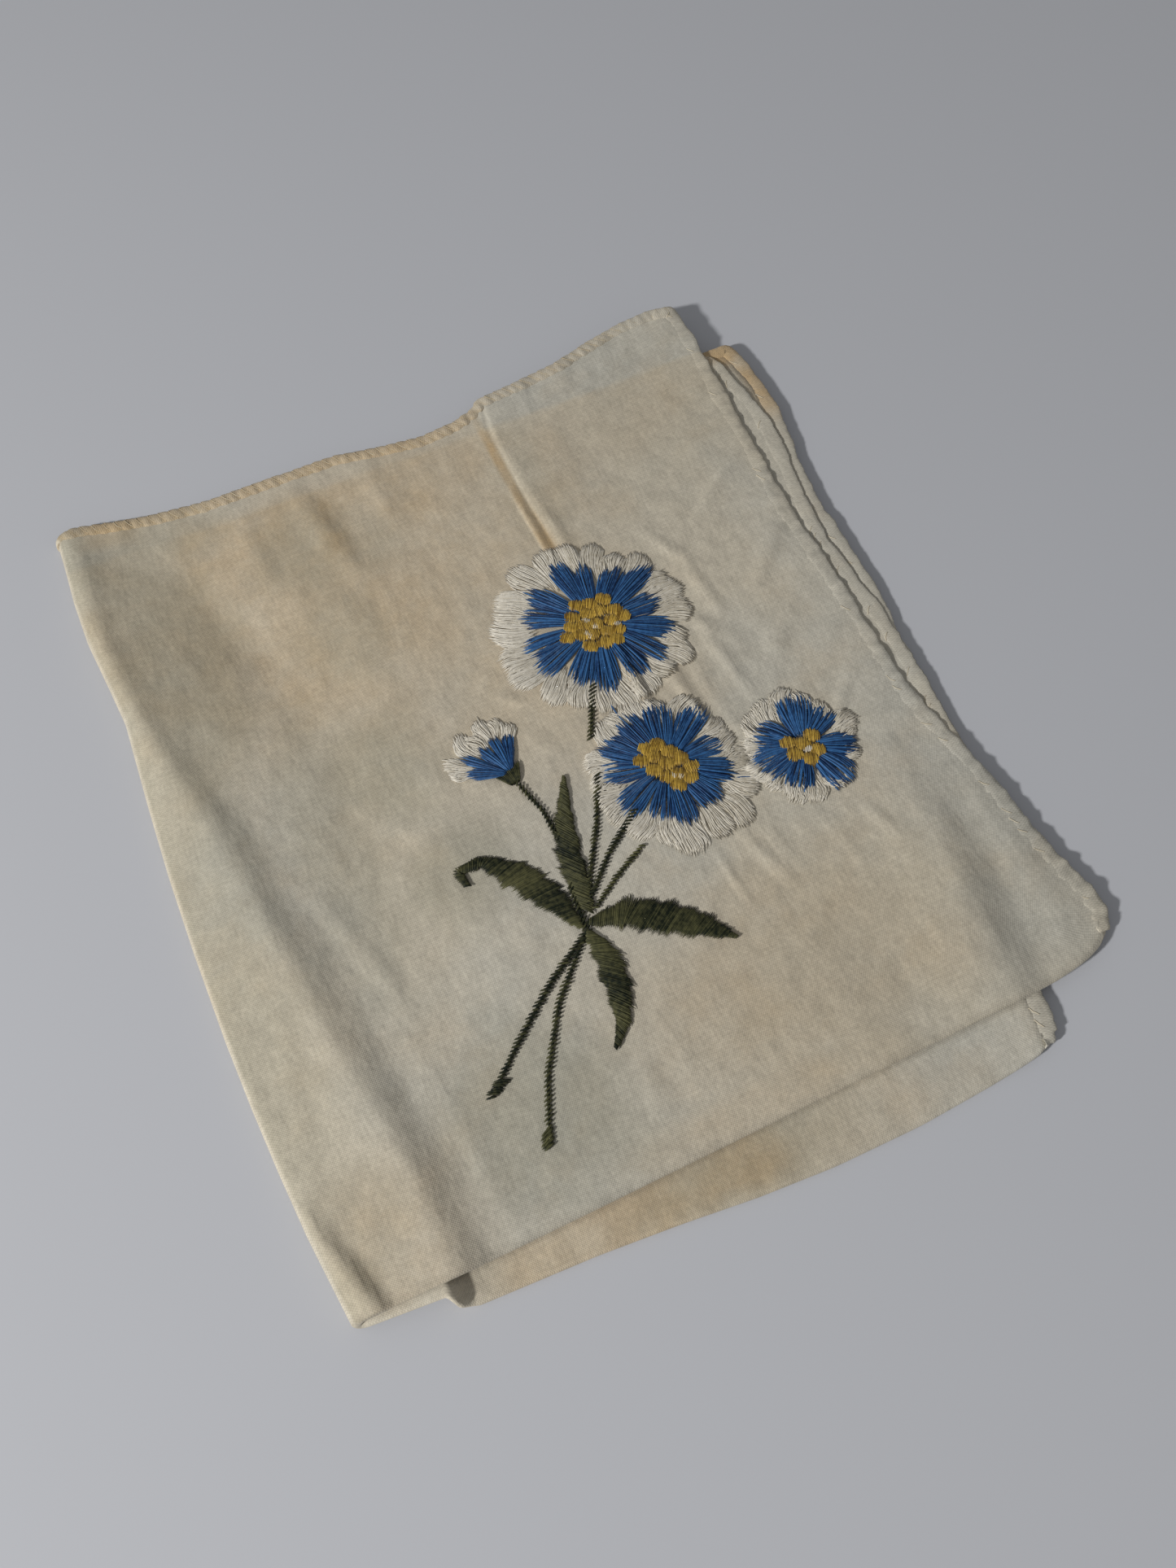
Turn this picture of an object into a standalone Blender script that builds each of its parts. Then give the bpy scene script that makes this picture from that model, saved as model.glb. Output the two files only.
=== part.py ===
"""Linen handkerchief folded in half twice, lying flat on a table.

One hemmed sheet makes four layers. The first fold brings the lower half of the
cloth up under the upper half, and the second fold brings the left half under the
right half. Layers are named from the top: front, second, third and back.
The origin is the middle of the footprint and the back layer rests on Z = 0.
"""

from collections import namedtuple
import math

import bmesh
import bpy
import numpy as np

MM = 0.001

# Sheet
SHEET_THICKNESS = 1.0 * MM
LAYER_PITCH = 1.34 * MM
BACK_MIDDLE_HEIGHT = SHEET_THICKNESS / 2

# Nominal size of one quarter, fold to hem
QUARTER_WIDTH = 125.0 * MM
QUARTER_HEIGHT = 141.0 * MM
KEEP_NEAR_FOLD = 8.0 * MM

# Mesh steps
LEFT_FOLD_STEPS = 5
BOTTOM_FOLD_STEPS = 3
PLAN_PASSES = 4

# Levels of the layers, counted in pitches up from the back layer
FRONT_LEVEL = 3.0
MIDDLE_LEVEL = 1.5

# How fast the front layer's relief dies away towards the back layer, which is flat
RELIEF_POWER = 1.3

# Outlines in millimetres, measured from the corner where both folds meet.
# along: distance along the edge, across: position of the edge at that distance.
Edge = namedtuple("Edge", "along across")

LEFT_FOLD_X = (
    Edge(along=-4, across=0.7),
    Edge(along=1, across=0.4),
    Edge(along=7, across=-0.3),
    Edge(along=14, across=-1.1),
    Edge(along=24, across=-1.8),
    Edge(along=34, across=-2.3),
    Edge(along=45, across=-2.6),
    Edge(along=60, across=-2.6),
    Edge(along=74, across=-2.3),
    Edge(along=86, across=-1.7),
    Edge(along=97, across=-1),
    Edge(along=103, across=-0.6),
    Edge(along=112, across=-1.2),
    Edge(along=121, across=-1.9),
    Edge(along=130, across=-1.8),
    Edge(along=139, across=-1.2),
    Edge(along=146, across=-0.9),
)

FRONT_PAIR_BOTTOM_Y = (
    Edge(along=-2, across=0.6),
    Edge(along=6, across=0.5),
    Edge(along=25, across=0.2),
    Edge(along=60, across=0.1),
    Edge(along=104, across=0.0),
    Edge(along=113, across=0.4),
    Edge(along=118, across=1.0),
    Edge(along=122, across=2.2),
    Edge(along=126, across=5.0),
)

BACK_PAIR_BOTTOM_Y = (
    Edge(along=-2, across=0.4),
    Edge(along=8, across=-0.3),
    Edge(along=12.5, across=-0.9),
    Edge(along=15.5, across=-3.4),
    Edge(along=20, across=-4.1),
    Edge(along=34, across=-5.1),
    Edge(along=46, across=-6.3),
    Edge(along=58, across=-7.8),
    Edge(along=70, across=-8.8),
    Edge(along=84, across=-9.1),
    Edge(along=96, across=-8.6),
    Edge(along=103, across=-8.2),
    Edge(along=107, across=-7.5),
    Edge(along=110, across=-6.3),
)

FRONT_TOP_Y = (
    Edge(along=-2, across=145.2),
    Edge(along=3, across=144.8),
    Edge(along=8, across=143.4),
    Edge(along=16, across=141.6),
    Edge(along=25, across=140.5),
    Edge(along=38, across=140.3),
    Edge(along=50, across=140.2),
    Edge(along=58, across=138.6),
    Edge(along=66, across=137.7),
    Edge(along=73, across=138.4),
    Edge(along=77, across=139.7),
    Edge(along=80, across=141.6),
    Edge(along=88, across=142.4),
    Edge(along=96, across=143.5),
    Edge(along=104, across=145.7),
    Edge(along=111, across=147.3),
    Edge(along=118, across=147.9),
    Edge(along=123, across=146.8),
)

INNER_TOP_Y = (
    Edge(along=-2, across=137.5),
    Edge(along=14, across=136.2),
    Edge(along=60, across=135.4),
    Edge(along=100, across=135.6),
    Edge(along=128, across=135.8),
)

BACK_TOP_Y = (
    Edge(along=-2, across=145.0),
    Edge(along=8, across=142.6),
    Edge(along=24, across=138.6),
    Edge(along=60, across=136.6),
    Edge(along=125, across=136.8),
    Edge(along=130, across=136.0),
)

FRONT_RIGHT_X = (
    Edge(along=4, across=125.6),
    Edge(along=7, across=126.2),
    Edge(along=10, across=126.1),
    Edge(along=15, across=124.9),
    Edge(along=23, across=123.9),
    Edge(along=31, across=123.3),
    Edge(along=37, across=122.4),
    Edge(along=43, across=121.3),
    Edge(along=48, across=120.3),
    Edge(along=54, across=119.7),
    Edge(along=69, across=120.1),
    Edge(along=84, across=120.2),
    Edge(along=92, across=120),
    Edge(along=100, across=120.4),
    Edge(along=109, across=121.2),
    Edge(along=123, across=122),
    Edge(along=132, across=122.9),
    Edge(along=139, across=123.3),
    Edge(along=147, across=123.4),
)

SECOND_RIGHT_X = (
    Edge(along=4, across=125.2),
    Edge(along=14, across=124.2),
    Edge(along=28, across=122.6),
    Edge(along=41, across=122.6),
    Edge(along=48, across=123.3),
    Edge(along=60, across=124.1),
    Edge(along=69, across=124.3),
    Edge(along=78, across=123.7),
    Edge(along=86, across=123.4),
    Edge(along=95, across=124.2),
    Edge(along=105, across=126.2),
    Edge(along=111, across=127.5),
    Edge(along=116, across=128.1),
    Edge(along=121, across=127.8),
    Edge(along=130, across=125.8),
    Edge(along=136, across=124.4),
)

THIRD_RIGHT_X = (
    Edge(along=-7, across=109.4),
    Edge(along=0, across=110.6),
    Edge(along=18, across=115.2),
    Edge(along=36, across=120),
    Edge(along=52, across=123.4),
    Edge(along=70, across=125.9),
    Edge(along=84, across=127.2),
    Edge(along=93, across=127.3),
    Edge(along=99, across=126.7),
    Edge(along=106, across=127.2),
    Edge(along=118, across=129.5),
    Edge(along=128, across=129.9),
    Edge(along=136, across=129),
)

BACK_RIGHT_X = (
    Edge(along=-7, across=109.6),
    Edge(along=-3, across=110.9),
    Edge(along=0, across=111.3),
    Edge(along=18, across=115.8),
    Edge(along=36, across=120.6),
    Edge(along=52, across=124.2),
    Edge(along=64, across=125.8),
    Edge(along=76, across=127.6),
    Edge(along=82, across=128.2),
    Edge(along=92, across=128.2),
    Edge(along=99, across=127.3),
    Edge(along=106, across=127.9),
    Edge(along=117, across=130.3),
    Edge(along=124, across=131.7),
    Edge(along=131, across=131.4),
    Edge(along=137, across=130.4),
)

# The soft roll beside the left fold, a row per section across it, in millimetres.
# crest and foot: where its top and its right-hand foot lie, height: above the field.
RollSection = namedtuple("RollSection", "up crest foot height")

LEFT_ROLL = (
    RollSection(up=-4, crest=17.0, foot=21.5, height=1.7),
    RollSection(up=14, crest=15.4, foot=20.6, height=1.9),
    RollSection(up=30, crest=13.0, foot=18.4, height=2.0),
    RollSection(up=45, crest=11.4, foot=16.6, height=2.0),
    RollSection(up=60, crest=9.9, foot=15.2, height=1.9),
    RollSection(up=75, crest=8.0, foot=13.6, height=1.8),
    RollSection(up=88, crest=5.8, foot=13.6, height=1.8),
    RollSection(up=100, crest=3.4, foot=15.5, height=1.9),
    RollSection(up=112, crest=1.9, foot=17.5, height=1.9),
    RollSection(up=130, crest=1.0, foot=17.0, height=1.8),
    RollSection(up=148, crest=1.2, foot=15.0, height=1.6),
)

# Other soft ridges of the front layer, in millimetres. Each runs from its start
# to its end and fades out at both; left and right are the widths of its two flanks.
Ridge = namedtuple("Ridge", "start_x start_y end_x end_y left right height")

FRONT_RIDGES = (
    Ridge(start_x=27, start_y=152, end_x=29, end_y=84, left=10, right=26, height=0.6),
    Ridge(start_x=78.2, start_y=152, end_x=78.6, end_y=96, left=2.0, right=10, height=0.6),
    Ridge(start_x=105, start_y=-12, end_x=111, end_y=48, left=16, right=8, height=0.7),
    Ridge(start_x=122, start_y=4, end_x=119, end_y=44, left=6, right=8, height=0.5),
    Ridge(start_x=90, start_y=96, end_x=89, end_y=52, left=12, right=14, height=0.4),
    Ridge(start_x=0.2, start_y=15, end_x=7, end_y=-1, left=2.5, right=3, height=0.5),
)

# Places of the mesh lines, in millimetres from the fold
FRONT_COLUMNS = (
    2.6, 4.4, 6.2, 8.0, 9.8, 11.6, 13.4, 15.2, 17.0, 18.8, 20.8, 23.5, 27.5, 32.5,
    39, 47, 56, 65, 73, 76.6, 78.6, 81.5, 87, 94, 101, 107, 112, 117, 121.5, 125,
)
BACK_COLUMNS = (
    3, 6, 9, 12, 13.6, 15.2, 17, 20, 26, 34, 43, 53, 63, 73, 83, 93, 102, 109, 114,
    120, 125,
)
OUTER_ROWS = (
    3, 6, 10, 15, 21, 28, 35, 42, 49, 56, 63, 70, 77, 84, 91, 98, 105, 112, 119, 126,
    133, 141,
)
INNER_ROWS = (
    3, 7, 13, 20, 28, 36, 45, 54, 63, 72, 81, 90, 99, 107, 115, 124, 133, 141,
)

# Colour and sheen of aged undyed linen
LINEN_COLOUR = (0.60, 0.55, 0.44, 1.0)
LINEN_ROUGHNESS = 0.85


def edge_at(table, along):
    """Position of an edge, in metres, at distances along it in metres."""
    places = [row.along * MM for row in table]
    values = [row.across * MM for row in table]
    return np.interp(along, places, values)


def smooth(value):
    """Soft step from 0 to 1."""
    clipped = np.clip(value, 0.0, 1.0)
    return clipped * clipped * (3.0 - 2.0 * clipped)


def roll_relief(x, y):
    """Height of the soft roll beside the left fold."""
    places = [row.up * MM for row in LEFT_ROLL]
    crest = np.interp(y, places, [row.crest * MM for row in LEFT_ROLL])
    foot = np.interp(y, places, [row.foot * MM for row in LEFT_ROLL])
    height = np.interp(y, places, [row.height * MM for row in LEFT_ROLL])
    left = edge_at(LEFT_FOLD_X, y)
    rise = np.clip((x - left) / (crest - left), 0.0, 1.0)
    fall = smooth((foot - x) / (foot - crest))
    return height * np.where(x < crest, np.sin(rise * math.pi / 2), fall)


def ridge_relief(ridge, x, y):
    """Height of one soft ridge."""
    run_x = (ridge.end_x - ridge.start_x) * MM
    run_y = (ridge.end_y - ridge.start_y) * MM
    length = math.hypot(run_x, run_y)
    from_x = x - ridge.start_x * MM
    from_y = y - ridge.start_y * MM
    along = (from_x * run_x + from_y * run_y) / length ** 2
    # Positive towards +X for a ridge that runs up or down the cloth
    side = (from_x * run_y - from_y * run_x) / length * math.copysign(1.0, run_y)
    width = np.where(side < 0, ridge.left * MM, ridge.right * MM)
    profile = smooth(1.0 - np.abs(side) / width)
    fade = np.sin(np.clip(along, 0.0, 1.0) * math.pi)
    return ridge.height * MM * profile * fade


def relief(x, y):
    """Height of the front layer above the level field."""
    total = roll_relief(x, y)
    for ridge in FRONT_RIDGES:
        total = total + ridge_relief(ridge, x, y)
    return total


def fold_stations(radius, steps, places):
    """Stations of a sheet from the outside of a fold to its hem.

    Each station is the distance from the outermost point of the fold's middle line,
    with the sine and the cosine of the turn reached there.
    """
    stations = []
    for step in range(steps + 1):
        turn = step / steps * math.pi / 2
        stations.append((radius * (1.0 - math.cos(turn)), math.sin(turn), math.cos(turn)))
    for place in places:
        stations.append((place * MM, 1.0, 0.0))
    return stations


def both_sides(first, second):
    """Stations across a whole fold: the second side turned over, then the first."""
    turned = [(run, -sine, cosine) for run, sine, cosine in reversed(second[1:])]
    return np.array(turned + first)


def stretch(run, nominal, actual):
    """Spread a nominal distance over the actual one, but not close to the fold."""
    share = np.clip((run - KEEP_NEAR_FOLD) / (nominal - KEEP_NEAR_FOLD), 0.0, 1.0)
    return run + share * (actual - nominal)


def place_on_layer(run_x, run_y, bottom, top, right):
    """Plan position of sheet points on one layer's outline."""
    x = run_x.copy()
    y = run_y.copy()
    for _ in range(PLAN_PASSES):
        left = edge_at(LEFT_FOLD_X, y) + LAYER_PITCH / 2
        x = left + stretch(run_x, QUARTER_WIDTH, edge_at(right, y) - left)
        base = edge_at(bottom, x)
        y = base + stretch(run_y, QUARTER_HEIGHT, edge_at(top, x) - base)
    return x, y


def folded_grid():
    """Points of the middle surface of the whole folded cloth."""
    columns = both_sides(
        fold_stations(LAYER_PITCH, LEFT_FOLD_STEPS, FRONT_COLUMNS),
        fold_stations(LAYER_PITCH, LEFT_FOLD_STEPS, BACK_COLUMNS),
    )
    rows = both_sides(
        fold_stations(LAYER_PITCH / 2, BOTTOM_FOLD_STEPS, OUTER_ROWS),
        fold_stations(LAYER_PITCH / 2, BOTTOM_FOLD_STEPS, INNER_ROWS),
    )
    column_run, column_sine, column_cosine = columns.T[:, :, None]
    row_run, row_sine = rows.T[:2, None, :]
    # Half a pitch outwards for the front and back layers, inwards for the two inner ones
    offset = row_sine * LAYER_PITCH / 2
    run_x = column_run - column_cosine * offset
    run_y = np.broadcast_to(row_run, run_x.shape)
    level = MIDDLE_LEVEL + column_sine * (1.0 + offset / LAYER_PITCH)

    front = place_on_layer(run_x, run_y, FRONT_PAIR_BOTTOM_Y, FRONT_TOP_Y, FRONT_RIGHT_X)
    second = place_on_layer(run_x, run_y, FRONT_PAIR_BOTTOM_Y, INNER_TOP_Y, SECOND_RIGHT_X)
    third = place_on_layer(run_x, run_y, BACK_PAIR_BOTTOM_Y, INNER_TOP_Y, THIRD_RIGHT_X)
    back = place_on_layer(run_x, run_y, BACK_PAIR_BOTTOM_Y, BACK_TOP_Y, BACK_RIGHT_X)

    upper = (1.0 + column_sine) / 2
    outer = (1.0 + row_sine) / 2
    plan = [
        upper * (outer * front[k] + (1.0 - outer) * second[k])
        + (1.0 - upper) * (outer * back[k] + (1.0 - outer) * third[k])
        for k in range(2)
    ]
    share = np.clip(level / FRONT_LEVEL, 0.0, 1.0) ** RELIEF_POWER
    z = BACK_MIDDLE_HEIGHT + level * LAYER_PITCH + share * relief(plan[0], plan[1])
    return np.stack([plan[0], plan[1], z], axis=-1)


def flat_sheet(columns, rows):
    """Mesh of the cloth laid out flat, one vertex for each station."""
    sheet = bmesh.new()
    bmesh.ops.create_grid(sheet, x_segments=columns - 1, y_segments=rows - 1, size=1.0)
    mesh = bpy.data.meshes.new("handkerchief")
    sheet.to_mesh(mesh)
    sheet.free()
    return mesh


def fold(mesh, points):
    """Move each vertex of the flat sheet to its place in the folded cloth."""
    columns, rows = points.shape[:2]
    for vertex in mesh.vertices:
        column = round((vertex.co.x + 1.0) / 2.0 * (columns - 1))
        row = round((vertex.co.y + 1.0) / 2.0 * (rows - 1))
        vertex.co = points[column, row]


def linen_material():
    material = bpy.data.materials.new("aged_linen")
    material.use_nodes = True
    shader = material.node_tree.nodes["Principled BSDF"]
    shader.inputs["Base Color"].default_value = LINEN_COLOUR
    shader.inputs["Roughness"].default_value = LINEN_ROUGHNESS
    material.diffuse_color = LINEN_COLOUR
    return material


def build_handkerchief(collection):
    points = folded_grid()
    lowest = points.min(axis=(0, 1))
    highest = points.max(axis=(0, 1))
    points[:, :, :2] -= ((lowest + highest) / 2)[:2]
    mesh = flat_sheet(*points.shape[:2])
    fold(mesh, points)
    mesh.shade_smooth()
    mesh.materials.append(linen_material())
    cloth = bpy.data.objects.new("handkerchief", mesh)
    collection.objects.link(cloth)
    thickness = cloth.modifiers.new("sheet", "SOLIDIFY")
    thickness.thickness = SHEET_THICKNESS
    thickness.offset = 0.0
    thickness.use_even_offset = True
    thickness.use_rim = True
    return cloth


def main():
    for item in list(bpy.data.objects):
        bpy.data.objects.remove(item, do_unlink=True)
    collection = bpy.data.collections.new("folded_handkerchief")
    bpy.context.scene.collection.children.link(collection)
    build_handkerchief(collection)


main()
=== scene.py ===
"""Looks of the folded linen handkerchief: thin cloth, rolled hem and embroidery.

Plan places are millimetres from the corner where both folds meet, x along the
first fold and y along the last fold, as in the solid that the cloth lies on.
"""

import math
from collections import namedtuple

import bpy
import numpy as np
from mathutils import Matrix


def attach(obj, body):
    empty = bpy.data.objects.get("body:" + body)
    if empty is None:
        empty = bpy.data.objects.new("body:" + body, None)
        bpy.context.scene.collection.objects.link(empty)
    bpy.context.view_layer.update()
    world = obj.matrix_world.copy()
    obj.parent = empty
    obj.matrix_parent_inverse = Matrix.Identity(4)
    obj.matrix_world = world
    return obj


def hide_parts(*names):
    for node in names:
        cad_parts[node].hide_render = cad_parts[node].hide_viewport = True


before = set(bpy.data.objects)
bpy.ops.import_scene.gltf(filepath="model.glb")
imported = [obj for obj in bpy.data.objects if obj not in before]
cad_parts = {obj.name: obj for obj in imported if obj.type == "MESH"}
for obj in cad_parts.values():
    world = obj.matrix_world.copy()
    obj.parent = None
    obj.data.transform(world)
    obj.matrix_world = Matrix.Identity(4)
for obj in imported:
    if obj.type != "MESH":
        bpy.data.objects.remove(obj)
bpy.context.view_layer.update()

MM = 0.001

# Where the folded corner lies in the frame
CORNER = np.array([-64.46, -69.31, 0.0]) * MM

# Cloth
CLOTH_THICKNESS = 0.34 * MM
FOLD_PITCH = 1.34 * MM
BOTTOM_FOLD_RADIUS = 0.55 * MM
FRONT_LEVEL = 3.0
MIDDLE_LEVEL = 1.5
QUARTER_WIDTH = 125.0 * MM
QUARTER_HEIGHT = 141.0 * MM
KEEP_NEAR_FOLD = 8.0 * MM
PLAN_PASSES = 4

# Mesh steps
LEFT_FOLD_STEPS = 8
BOTTOM_FOLD_STEPS = 6
FINE_STEP = 0.95 * MM
COARSE_STEP = 2.7 * MM
TUCK_FROM = 77.0 * MM
TUCK_TO = 82.0 * MM
TUCK_STEP = 0.3 * MM
DROP_FROM = 12.5 * MM
DROP_TO = 18.0 * MM
DROP_STEP = 0.5 * MM
STRIP_TO = 11.0 * MM

# Rolled hem
TOP_HEM_INSET = 1.35 * MM
RIGHT_HEM_INSET = 1.55 * MM
HEM_STEP = 0.33 * MM
HEM_SIDES = 12
STITCH_PITCH = 1.93 * MM
HEM_HALF_WIDTH = 1.60 * MM
HEM_HALF_HEIGHT = 0.26 * MM
HEM_OVERLAP = 0.05 * MM
GROOVE_DEPTH = 0.25
TOP_BLEND = 15
LEVEL_FACING = 0.97
FOLD_NEAR = range(-4, 5)

# The photo's view: focal length in pixels of its 1927 pixel height, and the camera's
# place and tilt from the folded corner
FOCAL_PIXELS = 1600.0
PHOTO_HEIGHT = 1927.0
SENSOR = 36.0
CAMERA_PLACE = (23.8, -23.8, 191.5)
CAMERA_TILT = math.radians(26.26)
CAMERA_TURN = math.radians(-25.38)

Edge = namedtuple("Edge", "along across")
Ridge = namedtuple("Ridge", "start_x start_y end_x end_y left right height")

LEFT_FOLD_X = (
    Edge(-4, 0.7), Edge(1, 0.4), Edge(7, -0.3), Edge(14, -1.1), Edge(24, -1.8),
    Edge(34, -2.3), Edge(45, -2.6), Edge(60, -2.6), Edge(74, -2.3), Edge(86, -1.7),
    Edge(97, -1.0), Edge(103, -0.6), Edge(112, -1.2), Edge(121, -1.9), Edge(130, -1.8),
    Edge(139, -1.2), Edge(146, -0.9),
)
FRONT_BOTTOM_Y = (
    Edge(-2, 0.6), Edge(6, 0.5), Edge(25, 0.2), Edge(60, 0.1), Edge(104, 0.0),
    Edge(113, 0.3), Edge(117, 0.8), Edge(120, 1.6), Edge(122, 2.7), Edge(124, 4.6),
    Edge(126, 6.8),
)
SECOND_BOTTOM_Y = (
    Edge(-2, 0.6), Edge(6, 0.5), Edge(25, 0.2), Edge(60, 0.1), Edge(104, 0.0),
    Edge(113, 0.3), Edge(119, 1.0), Edge(122, 1.8), Edge(124, 3.0), Edge(126, 4.8),
)
BACK_PAIR_BOTTOM_Y = (
    Edge(-2, 0.4), Edge(4, -0.2), Edge(13.2, -1.1), Edge(14.4, -3.2), Edge(17, -4.0),
    Edge(34, -5.1), Edge(46, -6.3), Edge(58, -7.8), Edge(70, -8.8), Edge(84, -9.1),
    Edge(96, -8.6), Edge(102, -8.2), Edge(106, -7.7), Edge(108, -6.8), Edge(109.5, -5.2),
)
FRONT_TOP_Y = (
    Edge(-2, 145.2), Edge(3, 144.8), Edge(8, 143.4), Edge(16, 141.6), Edge(25, 140.5),
    Edge(38, 140.5), Edge(50, 140.4), Edge(58, 138.8), Edge(66, 137.7), Edge(73, 138.4),
    Edge(77, 139.7), Edge(79.5, 141.6), Edge(88, 142.4), Edge(96, 143.5),
    Edge(104, 145.7), Edge(111, 147.3), Edge(118, 147.9), Edge(123, 146.8),
)
INNER_TOP_Y = (
    Edge(-2, 137.5), Edge(14, 136.2), Edge(60, 135.4), Edge(100, 135.6), Edge(128, 135.8),
)
SECOND_TOP_Y = (
    Edge(-2, 137.5), Edge(14, 136.2), Edge(60, 135.4), Edge(112, 135.0), Edge(122, 134.0),
    Edge(128, 132.4),
)
BACK_TOP_Y = (
    Edge(-2, 145.0), Edge(8, 142.6), Edge(24, 138.6), Edge(60, 136.2), Edge(112, 135.6),
    Edge(128, 134.6),
)
FRONT_RIGHT_X = (
    Edge(4, 125.4), Edge(7, 126.3), Edge(10, 126.3), Edge(15, 125.1), Edge(23, 123.9),
    Edge(31, 123.3), Edge(37, 122.4), Edge(43, 121.3), Edge(48, 120.3), Edge(54, 119.7),
    Edge(69, 120.1), Edge(84, 120.2), Edge(92, 120.0), Edge(100, 120.4),
    Edge(109, 121.2), Edge(123, 122.0), Edge(132, 122.9), Edge(139, 123.3),
    Edge(147, 123.4),
)
SECOND_RIGHT_X = (
    Edge(4, 125.8), Edge(8, 126.2), Edge(14, 124.6), Edge(28, 122.6), Edge(41, 122.6),
    Edge(48, 123.3), Edge(60, 124.1), Edge(69, 124.3), Edge(78, 123.7), Edge(86, 123.4),
    Edge(95, 124.2), Edge(105, 126.0), Edge(111, 126.9), Edge(116, 127.2),
    Edge(121, 126.9), Edge(130, 125.4), Edge(136, 124.2),
)
THIRD_RIGHT_X = (
    Edge(-7, 109.2), Edge(-3, 110.3), Edge(0, 110.7), Edge(18, 115.2), Edge(36, 119.9),
    Edge(52, 123.5), Edge(64, 125.1), Edge(76, 126.7), Edge(84, 126.9), Edge(92, 126.7),
    Edge(99, 127.1), Edge(106, 128.4), Edge(116, 130.7), Edge(124, 131.2),
    Edge(131, 130.7), Edge(137, 129.7),
)
BACK_RIGHT_X = (
    Edge(-7, 108.8), Edge(0, 110.1), Edge(18, 114.4), Edge(36, 119.2), Edge(52, 122.8),
    Edge(70, 125.2), Edge(84, 126.0), Edge(99, 126.2), Edge(106, 127.4), Edge(118, 129.8),
    Edge(128, 129.6), Edge(136, 128.4),
)

# Height of the front layer's middle, in millimetres, up the cloth: at the left fold,
# along the roll's crest, at the bottom of its dark flank, at the end of its slow fall,
# then at three places across the field and at the right hem
Profile = namedtuple(
    "Profile", "up edge crest_x crest flank_x flank foot_x foot left middle right hem"
)
PROFILES = (
    Profile(-6, 2.6, 16.8, 4.95, 21.4, 3.3, 30.0, 3.1, 3.2, 2.9, 2.5, 2.0),
    Profile(14, 2.4, 15.2, 5.0, 20.4, 3.25, 30.0, 3.1, 3.3, 3.0, 2.5, 2.0),
    Profile(30, 2.3, 13.0, 5.1, 18.7, 3.25, 28.5, 3.0, 3.2, 3.0, 2.5, 1.9),
    Profile(45, 2.25, 11.0, 5.1, 16.8, 3.25, 27.5, 2.8, 3.2, 3.0, 2.4, 1.8),
    Profile(60, 2.25, 8.9, 5.0, 14.2, 3.3, 27.0, 2.6, 3.1, 3.0, 2.4, 2.2),
    Profile(75, 2.25, 7.2, 4.9, 11.4, 3.5, 28.0, 2.3, 3.1, 3.0, 2.5, 2.5),
    Profile(88, 2.2, 4.4, 4.9, 8.2, 3.8, 28.8, 2.0, 3.1, 3.0, 2.7, 2.7),
    Profile(100, 2.2, 2.0, 4.8, 4.6, 4.0, 28.2, 1.5, 3.1, 3.0, 2.8, 2.8),
    Profile(112, 2.2, 0.2, 4.4, 3.4, 3.6, 20.5, 1.5, 3.0, 2.9, 2.9, 3.0),
    Profile(124, 2.1, -0.2, 4.0, 3.4, 3.1, 16.5, 1.4, 2.9, 2.8, 3.1, 3.3),
    Profile(135, 1.8, 1.0, 3.3, 6.2, 2.1, 13.0, 1.4, 2.4, 2.5, 3.2, 3.7),
    Profile(149, 1.2, 2.0, 1.9, 6.4, 1.3, 13.0, 1.1, 1.6, 1.8, 3.2, 4.0),
)
LEFT_X = 40.0 * MM
MIDDLE_X = 70.0 * MM
RIGHT_X = 100.0 * MM
HEM_X = 124.0 * MM
SOFTENING = (-1.1 * MM, -0.55 * MM, 0.0, 0.55 * MM, 1.1 * MM)
LEVELS = (0.0, 1.0, 2.0, 3.0)
LEVEL_SHARES = (0.0, 0.30, 0.64, 1.0)
PACKED_SHARES = (0.28, 0.55, 0.74, 1.0)
PACKED_FROM = 108.0 * MM
PACKED_FULL = 124.0 * MM
LAYER_GAP = 0.40 * MM

# The first fold's end is lifted beside the corner, then drops
LIFT = 2.5 * MM
LIFT_FROM = 1.0 * MM
LIFT_FULL = 4.5 * MM
LIFT_DROP = 13.0 * MM
LIFT_END = 16.6 * MM
LIFT_UP = 10.0 * MM

# The hemmed end of the back pair stands off the surface
END_LIFT = 0.75 * MM
END_LIFT_FROM = 97.0 * MM
END_LIFT_FULL = 108.0 * MM
END_LIFT_UP = 16.0 * MM

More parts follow.
